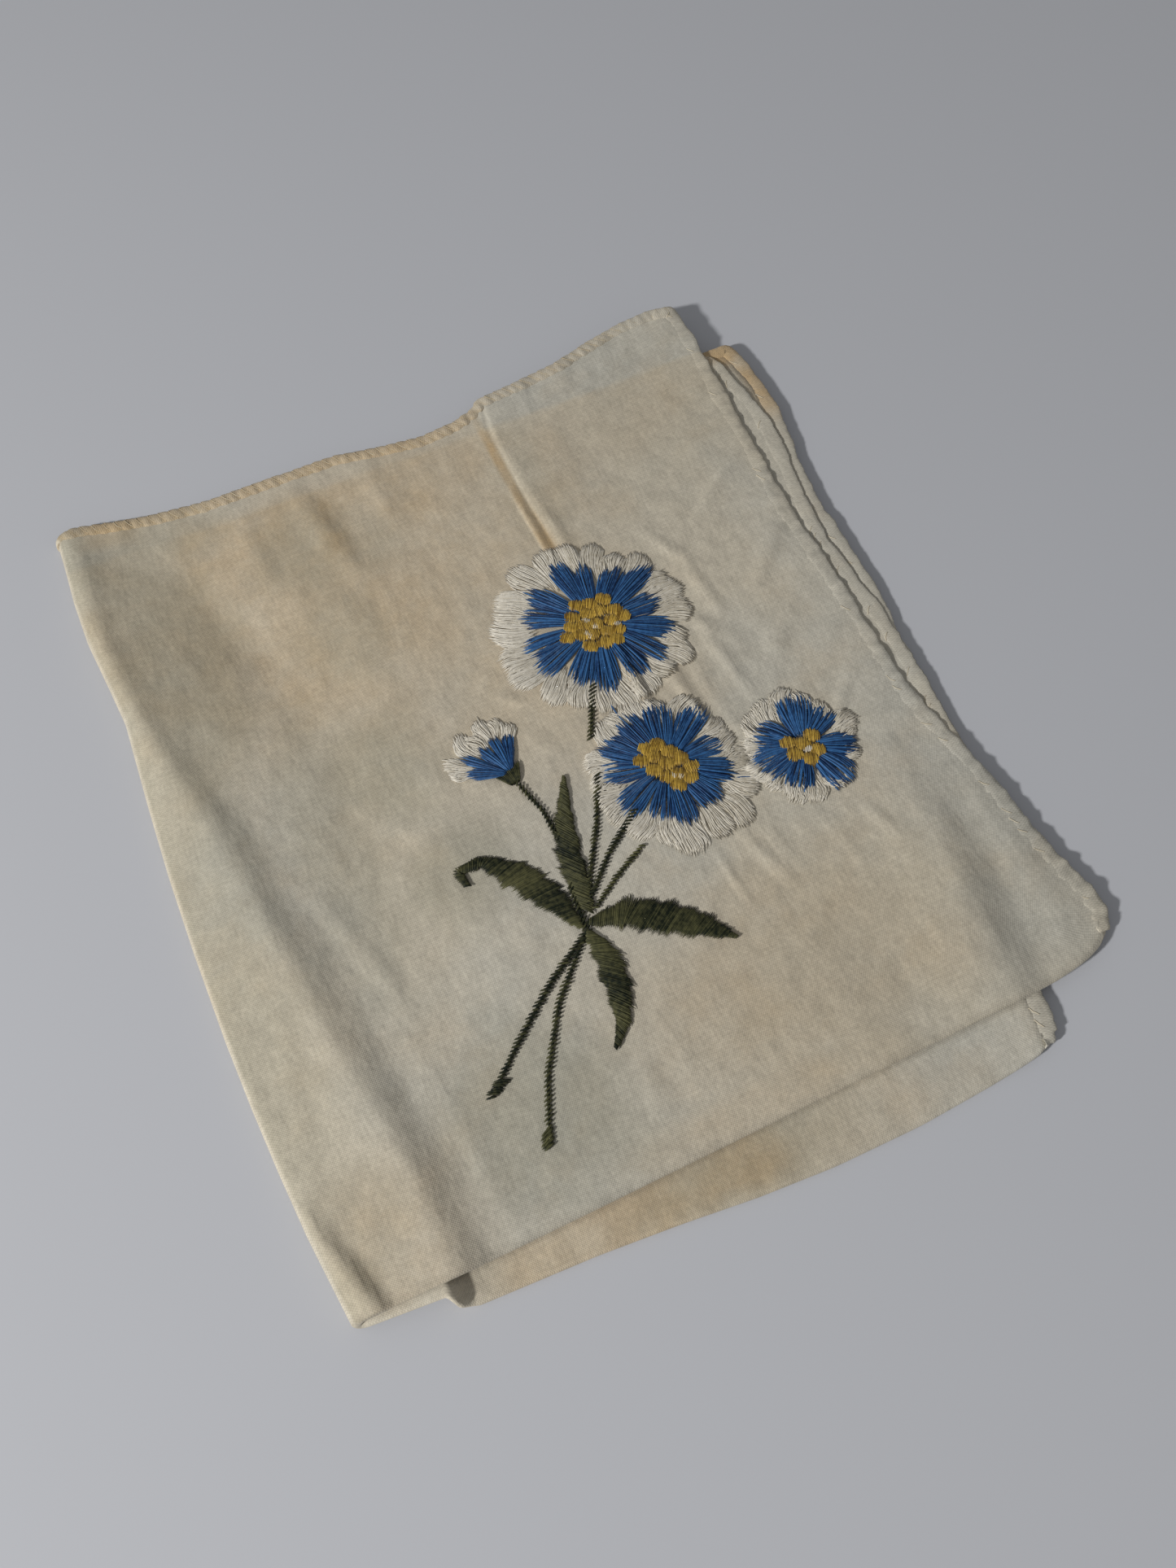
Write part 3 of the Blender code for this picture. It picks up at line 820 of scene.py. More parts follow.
def thread_material(look):
    """Embroidery thread, from its darker to its lighter tone."""
    graph = Graph(look.name)
    place = graph.node("ShaderNodeTexCoord", 3)
    fibres = graph.noise(place, 1500.0, 2.0)
    tone = graph.math("ADD", graph.attribute("tone"), graph.fit(fibres, 0.3, 0.7, -0.22, 0.22))
    graph.put(graph.shader.inputs["Base Color"], graph.mix(tone, look.dark, look.light))
    graph.put(graph.shader.inputs["Normal"], graph.bump(fibres, 0.05 * MM, 0.5))
    graph.shader.inputs["Roughness"].default_value = look.roughness
    graph.shader.inputs["Specular IOR Level"].default_value = look.specular
    graph.shader.inputs["Sheen Weight"].default_value = look.sheen
    graph.shader.inputs["Sheen Roughness"].default_value = 0.4
    return graph.material


# Cloth

Blotch = namedtuple("Blotch", "x y radius_x radius_y strength")

# Yellowed places on the front layer and on the back pair
FRONT_STAINS = (
    Blotch(42, 112, 44, 34, 0.36),
    Blotch(30, 118, 16, 26, 0.28),
    Blotch(24, 129, 12, 8, 0.46),
    Blotch(44.3, 125, 4.2, 10, 0.62),
    Blotch(40, 131, 26, 6, 0.46),
    Blotch(58, 127, 10, 10, 0.46),
    Blotch(27, 101, 8, 12, 0.36),
    Blotch(76.8, 124, 1.15, 15, 0.85),
    Blotch(77.2, 107, 1.4, 9, 0.80),
    Blotch(68, 130, 11, 8, 0.36),
    Blotch(8, 141, 7, 4, 0.45),
    Blotch(96, 126, 24, 12, 0.16),
    Blotch(62, 82, 22, 30, 0.20),
    Blotch(78, 18, 30, 16, 0.24),
    Blotch(66, 3, 22, 4, 0.26),
    Blotch(98, 13, 13, 9, 0.20),
    Blotch(10, 8, 13, 14, 0.30),
)
BACK_STAINS = (
    Blotch(40, -3.5, 22, 6, 0.46),
    Blotch(58, -3, 9, 5, 0.50),
    Blotch(72, -5, 20, 5, 0.20),
    Blotch(127.5, 134, 7, 4, 0.90),
    Blotch(130.2, 124, 2.6, 11, 0.75),
)
# Greyer, cooler places
FRONT_GREYS = (
    Blotch(36, 16, 30, 30, 0.75),
    Blotch(56, 48, 22, 22, 0.85),
    Blotch(118, 50, 13, 62, 0.85),
    Blotch(104, 60, 20, 24, 0.45),
    Blotch(12, 64, 14, 26, 0.35),
    Blotch(112, 10, 12, 14, 0.60),
)
BACK_GREYS = (Blotch(100, -5, 28, 8, 0.95), Blotch(125, 90, 12, 50, 0.75))
# Painted shade: darker places where the cloth lies in shade, on the front layer, the back pair
# and along the left fold
FRONT_PAINTED_SHADES = (
    Blotch(1, 72, 12.5, 80, 0.62),
    Blotch(0, 137, 6, 12, 0.75),
    Blotch(96, 16, 34, 20, 0.24),
    Blotch(108, 124, 22, 22, 0.20),
    Blotch(8, 13, 8, 10, 0.35),
    Blotch(14, 135, 16, 8, 0.50),
    Blotch(2, 5, 5, 6, 0.70),
    Blotch(11, 110, 12, 30, 0.75),
    Blotch(34, 76, 10, 13, 0.72),
    Blotch(39, 54, 10, 9, 0.72),
    Blotch(36, 15, 15, 16, 0.80),
    Blotch(38, 122, 11, 11, 0.66),
    Blotch(39, 103, 9, 12, 0.50),
    Blotch(23, 66, 9, 28, 0.50),
    Blotch(48, 119, 7, 7, 0.35),
    Blotch(80, 117, 6, 18, 0.30),
)
BACK_PAINTED_SHADES = (Blotch(58, -3, 20, 7, 0.62),)
FOLD_PAINTED_SHADE = 0.35
FOLD_PAINTED_SHADE_REACH = 2.6 * MM


def blotch_sum(table, place):
    """Soft blotches with uneven edges, joined smoothly, from 0 to about 1."""
    x = place[..., 0] / MM
    y = place[..., 1] / MM
    wander = np.sin(x / 2.9 + 1.3 * np.sin(y / 5.3)) * np.sin(y / 3.7 + np.sin(x / 6.1))
    total = np.zeros(x.shape)
    for blotch in table:
        away = np.hypot((x - blotch.x) / blotch.radius_x, (y - blotch.y) / blotch.radius_y)
        away = away * (1.0 + 0.16 * wander)
        total = total + (blotch.strength * smooth(1.35 - away)) ** 4
    return total ** 0.25


def on_layers(level, front, behind):
    """Values of the front layer and of the others, by level."""
    share = smooth((level - 2.3) / 0.5)
    return share * front + (1.0 - share) * behind


def store_colours(piece, place, level, groove, yellowed=0.0):
    """Keep the stains, the greyness, the painted shade, the grooves and the distance for the
    painted shadow line on a mesh.
    """
    x, y = place[..., 0], place[..., 1]
    # One layer alone, past the hidden hems, looks cooler
    single = smooth((y - edge_at(INNER_TOP_Y, x) + 2.4 * MM) / (1.4 * MM))
    single = single * (0.40 + 0.60 * smooth((x / MM - 74) / 8))
    stain = blotch_sum(FRONT_STAINS, place) * (1.0 - 0.7 * single) + 0.30 * yellowed
    grey = np.maximum(blotch_sum(FRONT_GREYS, place), single) * (1.0 - 0.85 * yellowed)
    # Painted shade along the left fold, and at the listed places
    at_fold = FOLD_PAINTED_SHADE * smooth(1.0 - (x - edge_at(LEFT_FOLD_X, y)) / FOLD_PAINTED_SHADE_REACH)
    painted_shade = blotch_sum(FRONT_PAINTED_SHADES, place) + at_fold
    store(piece, "stain", on_layers(level, stain, blotch_sum(BACK_STAINS, place)))
    store(piece, "grey", on_layers(level, grey, blotch_sum(BACK_GREYS, place)))
    store(piece, "painted_shade", on_layers(level, painted_shade, blotch_sum(BACK_PAINTED_SHADES, place)))
    store(piece, "groove", groove)
    # Distance from the front layer's bottom edge, for the painted shadow line along it
    store(piece, "gap", y - edge_at(FRONT_BOTTOM_Y, x))


def store_weave(piece, places):
    """Keep flat cloth places on the mesh as its texture places."""
    weave = piece.data.uv_layers.new(name="weave")
    corners = np.empty(len(piece.data.loops), dtype=np.int32)
    piece.data.loops.foreach_get("vertex_index", corners)
    weave.data.foreach_set("uv", places[corners].astype(np.float32).ravel())


def build_cloth(material):
    columns, rows = sheet_stations()
    points, read, level = folded_points(columns, rows)
    faces = grid_quads(*points.shape[:2])
    cloth = new_object("linen_cloth", points.reshape(-1, 3), faces.tolist(), material)
    store_colours(cloth, read, level, np.zeros(level.shape))
    across = columns[:, 0] * columns[:, 1]
    up = rows[:, 0] * rows[:, 1]
    store_weave(cloth, np.stack(np.meshgrid(across, up, indexing="ij"), -1).reshape(-1, 2))
    thickness = cloth.modifiers.new("thickness", "SOLIDIFY")
    thickness.thickness = CLOTH_THICKNESS
    thickness.offset = 0.0
    thickness.use_rim = True
    return cloth, points, read, level


def rim_rows(points, read, level):
    """Rows round the cloth's edge: place, normal, read place, level, top or side."""
    normal = np.cross(np.gradient(points, axis=0), np.gradient(points, axis=1))
    normal /= np.linalg.norm(normal, axis=-1, keepdims=True)
    last = -1
    sides = (
        ((last, slice(None, -1)), 0.0),
        ((slice(None, 0, -1), last), 1.0),
        ((0, slice(None, 0, -1)), 0.0),
        ((slice(None, -1), 0), 1.0),
    )
    rows = []
    for where, top in sides:
        height = level[where][:, None]
        rows.append(np.hstack([
            points[where], normal[where], read[where], height, np.full_like(height, top)]))
    return np.vstack(rows)


def unit(vectors):
    return vectors / np.linalg.norm(vectors, axis=-1, keepdims=True)


def build_hem(points, read, level, material):
    """The rolled hem round the whole edge, pinched by its whipped stitches."""
    rows = rim_rows(points, read, level)
    rows = np.vstack([rows, rows[:1]])
    steps = np.linalg.norm(np.diff(rows[:, :3], axis=0), axis=1)
    distance = np.concatenate([[0.0], np.cumsum(steps)])
    count = round(distance[-1] / HEM_STEP)
    stations = np.arange(count) * distance[-1] / count
    rows = np.stack([np.interp(stations, distance, column) for column in rows.T], -1)
    middle, facing, read, on_level = rows[:, :3], unit(rows[:, 3:6]), rows[:, 6:8], rows[:, 8]
    near = TOP_BLEND // 2
    top = np.concatenate([rows[-near:, 9], rows[:, 9], rows[:near, 9]])
    top = np.convolve(top, np.ones(TOP_BLEND) / TOP_BLEND, "valid")
    tangent = unit(np.roll(middle, -2, axis=0) - np.roll(middle, 2, axis=0))
    outward = unit(np.cross(tangent, facing))

    # Stitches are evenly spaced along the top, and along the sides
    along = np.where(top > 0.5, read[:, 0], read[:, 1]) / STITCH_PITCH
    chance = np.random.default_rng(8)
    uneven = np.convolve(chance.standard_normal(count + 8), np.ones(9) / 9, "valid")
    half_width = HEM_HALF_WIDTH + ((0.42 - 0.30 * top) * uneven - 0.20 * top) * MM
    turning = 1.0 - np.abs(facing[:, 2])
    turning = np.max([np.roll(turning, shift) for shift in FOLD_NEAR], axis=0)
    half_width = half_width * (1.0 - 0.40 * smooth(3.0 * turning))
    half_height = HEM_HALF_HEIGHT * (1.0 + top) + 0.03 * MM * uneven * (1.0 - top)
    marked = top * (1.0 - 0.75 * smooth((read[:, 0] / MM - 106) / 9))
    depth = GROOVE_DEPTH * marked
    angles = np.arange(HEM_SIDES) * 2 * math.pi / HEM_SIDES
    upward = np.sign(facing[:, 2])[:, None]
    lean = 0.42 * upward * np.cos(angles)[None, :] * np.sign(np.sin(angles + 0.01))[None, :]
    phase = along[:, None] + lean + 0.04 * uneven[:, None]
    groove = np.exp(-((phase - np.round(phase)) / 0.16) ** 2)
    size = 1.0 - depth[:, None] * groove
    across = half_width[:, None] * np.cos(angles)[None, :] * (0.55 + 0.45 * size)
    above = half_height[:, None] * np.sin(angles)[None, :] * size
    ring = (
        middle[:, None, :]
        - HEM_OVERLAP * outward[:, None, :]
        + across[:, :, None] * outward[:, None, :]
        + above[:, :, None] * facing[:, None, :]
    )
    turn = np.arange(HEM_SIDES)
    after = (turn + 1) % HEM_SIDES
    start = np.arange(count)[:, None] * HEM_SIDES
    following = ((np.arange(count) + 1) % count)[:, None] * HEM_SIDES
    faces = np.stack([start + turn, following + turn, following + after, start + after], -1)
    hem = new_object("rolled_hem", ring.reshape(-1, 3), faces.reshape(-1, 4).tolist(), material)
    place = np.repeat(read[:, None, :], HEM_SIDES, axis=1)
    yellowed = marked * (0.45 + 0.55 * smooth((82 - read[:, 0] / MM) / 8))
    store_colours(
        hem, place, np.repeat(on_level[:, None], HEM_SIDES, axis=1),
        yellowed[:, None] * (0.06 + 0.46 * groove), yellowed[:, None],
    )
    flat = np.meshgrid(stations, angles * 0.5 * MM, indexing="ij")
    store_weave(hem, np.stack(flat, -1).reshape(-1, 2))
    return hem, whip_stitches(middle, outward, facing, along, half_width, half_height, top)


def whip_stitches(middle, outward, facing, along, half_width, half_height, top):
    """Slanting threads over the hem, most of which have sunk in along the sides."""
    stitches = Threads(sides=5, flatness=0.8)
    chance = np.random.default_rng(11)
    for centre in np.nonzero(np.diff(np.floor(along)))[0]:
        if min(abs(facing[centre - 6:centre + 7, 2]), default=0.0) < LEVEL_FACING:
            continue
        at_top = top[centre] > 0.5
        if not at_top and chance.random() > 0.2:
            continue
        reach = 0.95 if at_top else 0.45
        inward = 0.0 if at_top else -0.5
        track = []
        slant = math.copysign(1.0, (along[centre + 1] - along[centre]) * facing[centre][2])
        for share in np.linspace(-1.0, 1.0, 6):
            index = (centre - round(2.5 * slant * share)) % len(middle)
            across = inward + reach * share
            bulge = math.sqrt(max(0.0, 1.0 - 0.9 * across ** 2)) * half_height[index]
            bulge = bulge * (0.78 if at_top else 1.0) + 0.02 * MM
            side = math.copysign(1.0, facing[index][2])
            track.append(
                middle[index]
                + across * half_width[index] * outward[index]
                + side * bulge * facing[index]
            )
        tone = chance.uniform(0.1, 0.6) if at_top else chance.uniform(0.8, 1.0)
        stitches.add(track, chance.uniform(0.07, 0.09) * MM, tone)
    return stitches


# Embroidery

Petal = namedtuple("Petal", "angle length width")
Lobe = namedtuple("Lobe", "angle start reach width curl tone")
Clump = namedtuple("Clump", "x y angle length width")

# A flower fans from one heading to another. Its fringe reaches further out on its
# longest side, and its heart is an oval of short blocks of stitches
Flower = namedtuple(
    "Flower",
    "x y from_angle to_angle heart petals petal_reach lobes fringe_reach longest extra "
    "heart_long heart_wide heart_turn knots",
)
FLOWERS = (
    Flower(77.8, 86.6, 10, 370, 4.4, 14, 14.2, 22, 17.2, 165, 2.8, 6.6, 5.4, -10, 5),
    Flower(76.3, 57.2, -12, 348, 3.0, 11, 12.2, 19, 13.6, -75, 2.8, 6.2, 2.9, -62, 2),
    Flower(98.0, 50.8, 4, 364, 2.4, 7, 9.4, 15, 10.8, 120, 1.4, 4.6, 2.6, -38, 1),
    Flower(53.1, 66.4, 62, 162, 0.6, 5, 8.6, 7, 10.6, 115, 0.8, 0.0, 0.0, 0, 0),
)
# Heading in degrees towards the light, on which the fringe's lobes are painted lightest
PAINTED_LIGHT_SIDE = 165
BLOCK_PITCH = 2.3
SPACING = 0.28 * MM
PETAL_THREAD = (0.12, 0.17)
LOBE_THREAD = (0.095, 0.125)
BLOCK_THREAD = 0.12 * MM
BLOCK_LIFT = 0.62


def heading(angle):
    """Unit vectors along an angle in degrees, and across it."""
    turn = math.radians(angle)
    ahead = np.array([math.cos(turn), math.sin(turn)])
    return ahead, np.array([-ahead[1], ahead[0]])


def uneven_fan(flower, count, chance):
    """Headings over a flower's fan, with uneven gaps, and their mean spacing."""
    pitch = (flower.to_angle - flower.from_angle) / count
    steps = np.arange(count) + 0.5 + chance.uniform(-0.17, 0.17, count)
    return flower.from_angle + pitch * steps, math.radians(pitch)


def petals_of(flower, chance):
    """Petals of uneven length and width, with narrow gaps between their tips."""
    angles, pitch = uneven_fan(flower, flower.petals, chance)
    for angle in angles:
        length = flower.petal_reach * chance.uniform(0.84, 1.12)
        yield Petal(angle, length, pitch * flower.petal_reach * chance.uniform(0.62, 0.86))


def lobes_of(flower, chance):
    """Lobes of the fringe, longest on the flower's longest side, and painted lighter on the
    side the light comes from.
    """
    angles, pitch = uneven_fan(flower, flower.lobes, chance)
    for angle in angles:
        longer = max(0.0, math.cos(math.radians(angle - flower.longest))) ** 2
        reach = flower.fringe_reach * chance.uniform(0.90, 1.08) + flower.extra * longer
        # Painted light: lobes facing the light are lighter
        tone = 0.52 + 0.22 * math.cos(math.radians(angle - PAINTED_LIGHT_SIDE))
        yield Lobe(
            angle, 0.62 * reach, reach, pitch * reach * chance.uniform(0.86, 1.12),
            chance.uniform(-0.9, 0.9), tone + chance.uniform(-0.10, 0.10))


def blocks_of(flower, chance):
    """Staggered rows of blocks that fill the heart's turned oval."""
    ahead, aside = heading(flower.heart_turn)
    reach = range(-4, 5)
    for row in reach:
        for column in reach:
            along = (column + 0.5 * (row % 2)) * BLOCK_PITCH + chance.uniform(-0.35, 0.35)
            across = 0.88 * row * BLOCK_PITCH + chance.uniform(-0.35, 0.35)
            inside = math.hypot(
                along / max(flower.heart_long, BLOCK_PITCH / 100),
                across / max(flower.heart_wide, BLOCK_PITCH / 100))
            if inside < 0.92:
                x, y = along * ahead + across * aside
                yield Clump(x, y, chance.uniform(48, 82), 2.8, 2.5)


def knots_of(flower, chance):
    """A few small white stitches scattered over the heart."""
    ahead, aside = heading(flower.heart_turn)
    for _ in range(flower.knots):
        along = flower.heart_long * chance.uniform(-0.5, 0.5)
        across = flower.heart_wide * chance.uniform(-0.5, 0.5)
        x, y = along * ahead + across * aside
        yield Clump(x, y, chance.uniform(40, 76), 1.6, 1.5)


def add_petal(threads, centre, petal, heart, chance):
    """Long and short stitches that fan out into one ragged petal."""
    ahead, aside = heading(petal.angle)
    length = petal.length * MM
    half = petal.width * MM * 0.45
    count = max(9, int(2 * half / SPACING))
    for layer in range(2):
        for place in np.linspace(-1.0, 1.0, count) * (1.0 - 0.10 * layer):
            place = place + chance.uniform(-0.07, 0.07)
            end = length * (1.0 - 0.12 * place ** 2) * chance.uniform(0.88, 1.04)
            if chance.random() < 0.25:
                end *= chance.uniform(0.72, 0.90)
            begin = heart * MM * chance.uniform(0.55, 0.95)
            share = np.linspace(0.0, 1.0, 8)
            run = begin + (end - begin) * share
            fan = 0.30 + 0.70 * smooth(run / length * 1.1)
            bend = half * 0.14 * np.sin(share * math.pi) * chance.uniform(-1, 1)
            plan = centre + run[:, None] * ahead + (half * place * fan + bend)[:, None] * aside
            body = np.sin(np.clip(0.12 + 0.86 * share, 0, 1) * math.pi) ** 0.6
            lift = (0.12 + (0.36 + 0.22 * layer) * body * (1.0 - 0.5 * place ** 2)) * MM
            lift = lift + chance.uniform(-0.07, 0.09) * MM * body
            tone = 0.40 + 0.36 * chance.standard_normal() + 0.1 * layer
            threads.lay(plan, lift, chance.uniform(*PETAL_THREAD) * MM, tone)


def add_lobe(threads, centre, lobe, chance):
    """One rounded lobe of silky white stitches that stand out past the petals."""
    ahead, aside = heading(lobe.angle)
    half = lobe.width * MM / 2
    count = max(8, int(lobe.width * MM / (0.66 * SPACING)))
    wave = chance.uniform(0, 2 * math.pi)
    for layer in range(2):
        for place in np.linspace(-1.0, 1.0, count) * (1.0 - 0.16 * layer):
            place = place + chance.uniform(-0.06, 0.06)
            rounded = 1.0 - math.sqrt(max(0.0, 1.0 - min(1.0, place ** 2)))
            end = lobe.reach * MM - 0.9 * half * rounded
            end = end - chance.uniform(0.0, 0.45) * MM - 0.5 * MM * layer
            if chance.random() < 0.06:
                end = end + chance.uniform(0.2, 0.5) * MM
            begin = lobe.start * MM + chance.uniform(-2.6, 0.8) * MM + 1.2 * MM * layer
            share = np.linspace(0.0, 1.0, 9)
            run = begin + (end - begin) * share
            fan = 0.55 + 0.45 * smooth(share * 1.4)
            bend = 1.3 * lobe.curl * MM * share ** 2.2
            bend = bend + 0.34 * MM * np.sin(share * 4.6 + wave + 0.5 * place)
            plan = centre + run[:, None] * ahead + (half * place * fan + bend)[:, None] * aside
            # Under the petals first, then a raised rim that dips at its end
            body = smooth(share * 1.8) * np.sqrt(np.clip(1.0 - share ** 7, 0, 1))
            lift = (0.05 + (0.20 + 0.14 * layer) * body * (1.0 - 0.6 * place ** 2)) * MM
            lift = lift + chance.uniform(-0.04, 0.05) * MM * body
            tone = lobe.tone + 0.20 * chance.standard_normal()
            threads.lay(plan, lift, chance.uniform(*LOBE_THREAD) * MM, tone)


def add_clump(threads, centre, clump, chance):
    """A short block of parallel satin stitches."""
    ahead, aside = heading(clump.angle)
    middle = centre + np.array([clump.x, clump.y]) * MM
    count = max(5, int(clump.width / 0.22))
    for place in np.linspace(-0.5, 0.5, count):
        # Shorter and lower towards both sides, so that the block looks rounded
        rounded = 1.0 - 1.4 * place ** 2
        half = clump.length * MM * 0.56 * rounded * chance.uniform(0.84, 1.14)
        share = np.linspace(-1.0, 1.0, 7)
        slip = chance.uniform(-0.10, 0.10) * MM
        offset = (place + 0.03 * share * chance.uniform(-1, 1)) * clump.width * MM
        plan = middle + (share * half + slip)[:, None] * ahead + offset[:, None] * aside
        arch = np.sqrt(np.clip(1.0 - share ** 2, 0, 1)) * rounded
        tone = 0.5 + 0.28 * chance.standard_normal()
        threads.lay(plan, (0.32 + BLOCK_LIFT * arch) * MM, BLOCK_THREAD, tone)


Spine = namedtuple("Spine", "x y left right tone")

LEAVES = (
    (
        Spine(39.0, 51.6, 0.8, 0.8, 0.12), Spine(38.4, 54.6, 0.9, 0.9, 0.10),
        Spine(43.0, 54.6, 1.2, 1.4, 0.20), Spine(47.0, 49.8, 3.1, 3.0, 0.50),
        Spine(50.0, 44.0, 2.8, 2.8, 0.15), Spine(52.0, 38.0, 0.6, 0.6, 0.40),
    ),
    (
        Spine(53.9, 40.2, 1.1, 1.2, 0.35), Spine(54.8, 45.5, 2.6, 2.3, 0.50),
        Spine(55.6, 49.6, 2.5, 2.1, 0.30), Spine(57.0, 54.5, 2.0, 1.9, 0.35),
        Spine(60.4, 62.4, 0.4, 0.4, 0.70),
    ),
    (
        Spine(53.4, 38.4, 0.7, 0.7, 0.15), Spine(59.5, 37.4, 2.9, 2.9, 0.45),
        Spine(64.0, 34.2, 3.4, 3.2, 0.12), Spine(69.0, 30.3, 2.4, 2.3, 0.28),
        Spine(72.7, 26.6, 0.4, 0.4, 0.50),
    ),
    (
        Spine(52.6, 37.2, 0.8, 0.6, 0.60), Spine(53.7, 32.6, 2.5, 2.4, 0.45),
        Spine(52.9, 27.0, 2.4, 2.5, 0.12), Spine(51.2, 22.0, 1.3, 1.4, 0.40),
        Spine(48.6, 19.1, 0.4, 0.4, 0.15),
    ),
)
# Slant of each leaf's stitches from its spine
LEAF_SLANTS = (66, 50, 70, 58)

Stem = namedtuple("Stem", "tone end_tone width places")
STEM_SPACING = 0.66 * MM
FOOT_SPACING = 0.34 * MM
LEAF_SPACING = 0.22 * MM
STEMS = (
    Stem(0.35, 0.20, 1.25, ((53.2, 64.6), (54.9, 58.4), (55.1, 53.0))),
    Stem(0.30, 0.35, 1.45, ((71.9, 75.8), (69.4, 70.8), (67.4, 67.0))),
    Stem(0.35, 0.25, 1.30, ((65.4, 60.4), (61.8, 53.0), (55.9, 43.6))),
    Stem(0.15, 0.20, 1.30, ((68.0, 52.2), (61.0, 47.2), (54.2, 40.6))),
    Stem(0.60, 0.45, 1.15, ((66.4, 46.2), (60.8, 43.4), (55.4, 40.0))),
    Stem(0.20, 0.15, 1.45, ((52.6, 37.2), (44.0, 32.0), (36.5, 26.2), (29.4, 20.2))),
    Stem(0.20, 0.60, 1.40, ((51.4, 36.2), (44.0, 28.8), (38.0, 19.6), (34.1, 10.4))),
    Stem(0.15, 0.15, 1.70, ((53.4, 45.0), (52.6, 36.6))),
)
# Small triangles of satin stitch at the feet of the two long stems
FEET = (
    Stem(0.15, 0.10, 2.1, ((31.8, 21.8), (29.9, 20.6))),
    Stem(0.55, 0.45, 2.1, ((34.6, 12.6), (34.0, 10.6))),
)


def smooth_line(places, count):
    """A line through some plan places, softened and evenly spaced, and its length."""
    places = np.asarray(places, dtype=float) * MM
    key = np.concatenate([[0], np.cumsum(np.linalg.norm(np.diff(places, axis=0), axis=1))])
    fine = np.linspace(0, key[-1], 200)
    line = np.stack([np.interp(fine, key, places[:, k]) for k in range(2)], -1)
    for _ in range(40):
        line[1:-1] = (line[:-2] + 2 * line[1:-1] + line[2:]) / 4
    key = np.concatenate([[0], np.cumsum(np.linalg.norm(np.diff(line, axis=0), axis=1))])
    even = np.linspace(0, key[-1], count)
    return np.stack([np.interp(even, key, line[:, k]) for k in range(2)], -1), key[-1]


def satin(threads, line, left, right, slant, tones, radius, lift, chance):
    """Slanting stitches across a line, each from one side of it to the other."""
    tangent = unit(np.gradient(line, axis=0))
    turn = math.radians(slant)
    for k in range(len(line)):
        ahead = tangent[k]
        across = np.array([
            ahead[0] * math.cos(turn) - ahead[1] * math.sin(turn),
            ahead[0] * math.sin(turn) + ahead[1] * math.cos(turn),
        ])
        share = np.linspace(-1.0, 1.0, 8)
        reach = np.where(share < 0, right[k], left[k]) * MM / math.sin(turn)
        plan = line[k] + (share * reach * chance.uniform(0.88, 1.10))[:, None] * across
        arch = np.sqrt(np.clip(1.0 - share ** 2, 0, 1))
        height = (0.08 + lift * arch) * MM + chance.uniform(-0.05, 0.07) * MM
        tone = tones[k] + 0.15 * chance.standard_normal()
        threads.lay(plan, height, radius, tone)


def add_leaf(threads, spine, slant, chance):
    """Satin stitch across a leaf, in groups whose longer ends leave notches."""
    places = [(row.x, row.y) for row in spine]
    count = int(smooth_line(places, 2)[1] / LEAF_SPACING)
    line, _ = smooth_line(places, count)
    along = np.linspace(0, 1, count)
    reached = np.cumsum(np.linalg.norm(np.diff(places, axis=0), axis=1))
    stops = np.concatenate([[0.0], reached / reached[-1]])
    numbers = np.arange(count)
    left = np.interp(along, stops, [row.left for row in spine])
    right = np.interp(along, stops, [row.right for row in spine])
    left = left * (0.82 + 0.28 * (numbers % 14) / 14)
    right = right * (0.82 + 0.28 * ((numbers + 5) % 17) / 17)
    tones = np.interp(along, stops, [row.tone for row in spine])
    tones = tones + 0.16 * np.sin(numbers / 8.3) + 0.10
    satin(threads, line, left, right, slant, tones, 0.13 * MM, 0.42, chance)


def add_stem(threads, stem, spacing, chance):
    """A narrow stem of short slanting stitches."""
    count = max(3, int(smooth_line(stem.places, 2)[1] / spacing))
    line, _ = smooth_line(stem.places, count)
    half = np.full(count, stem.width * 0.48) * chance.uniform(0.80, 1.20, count)
    tones = np.linspace(stem.tone, stem.end_tone, count)
    satin(threads, line, half, half, -50, tones, 0.17 * MM, 0.34, chance)
    threads.lay(line, 0.14 * MM, 0.24 * MM, stem.tone * 0.5)


# Loose threads that run between the flowers
Strand = namedtuple("Strand", "blue tone places")
STRANDS = (
    Strand(True, 0.5, ((85.0, 50.6), (88.8, 49.2), (93.0, 49.6))),
    Strand(False, 0.7, ((84.4, 49.0), (89.0, 48.3), (94.2, 48.6))),
    Strand(False, 0.6, ((85.0, 51.6), (90.0, 51.5), (93.4, 52.4))),
    Strand(True, 0.6, ((73.6, 74.6), (73.0, 71.2), (73.3, 68.2))),
    Strand(False, 0.7, ((75.0, 73.0), (75.3, 69.8), (75.8, 67.0))),
)


# The bud's calyx: its wide top and its narrow foot, from left to right
CALYX_TOP = np.array([[50.2, 67.3], [55.0, 68.5]]) * MM
CALYX_FOOT = np.array([[52.4, 64.4], [53.7, 64.6]]) * MM


def add_calyx(threads, chance):
    """Upright stitches that fan out from the stem's end."""
    share = np.linspace(0.0, 1.0, 6)
    for place in np.linspace(0.0, 1.0, 14):
        top = CALYX_TOP[0] + (CALYX_TOP[1] - CALYX_TOP[0]) * place
        foot = CALYX_FOOT[0] + (CALYX_FOOT[1] - CALYX_FOOT[0]) * place
        lift = (0.24 + 0.24 * np.sin(share * math.pi)) * MM
        threads.lay(
            top + (foot - top) * share[:, None], lift, 0.19 * MM, chance.uniform(0.15, 0.55))


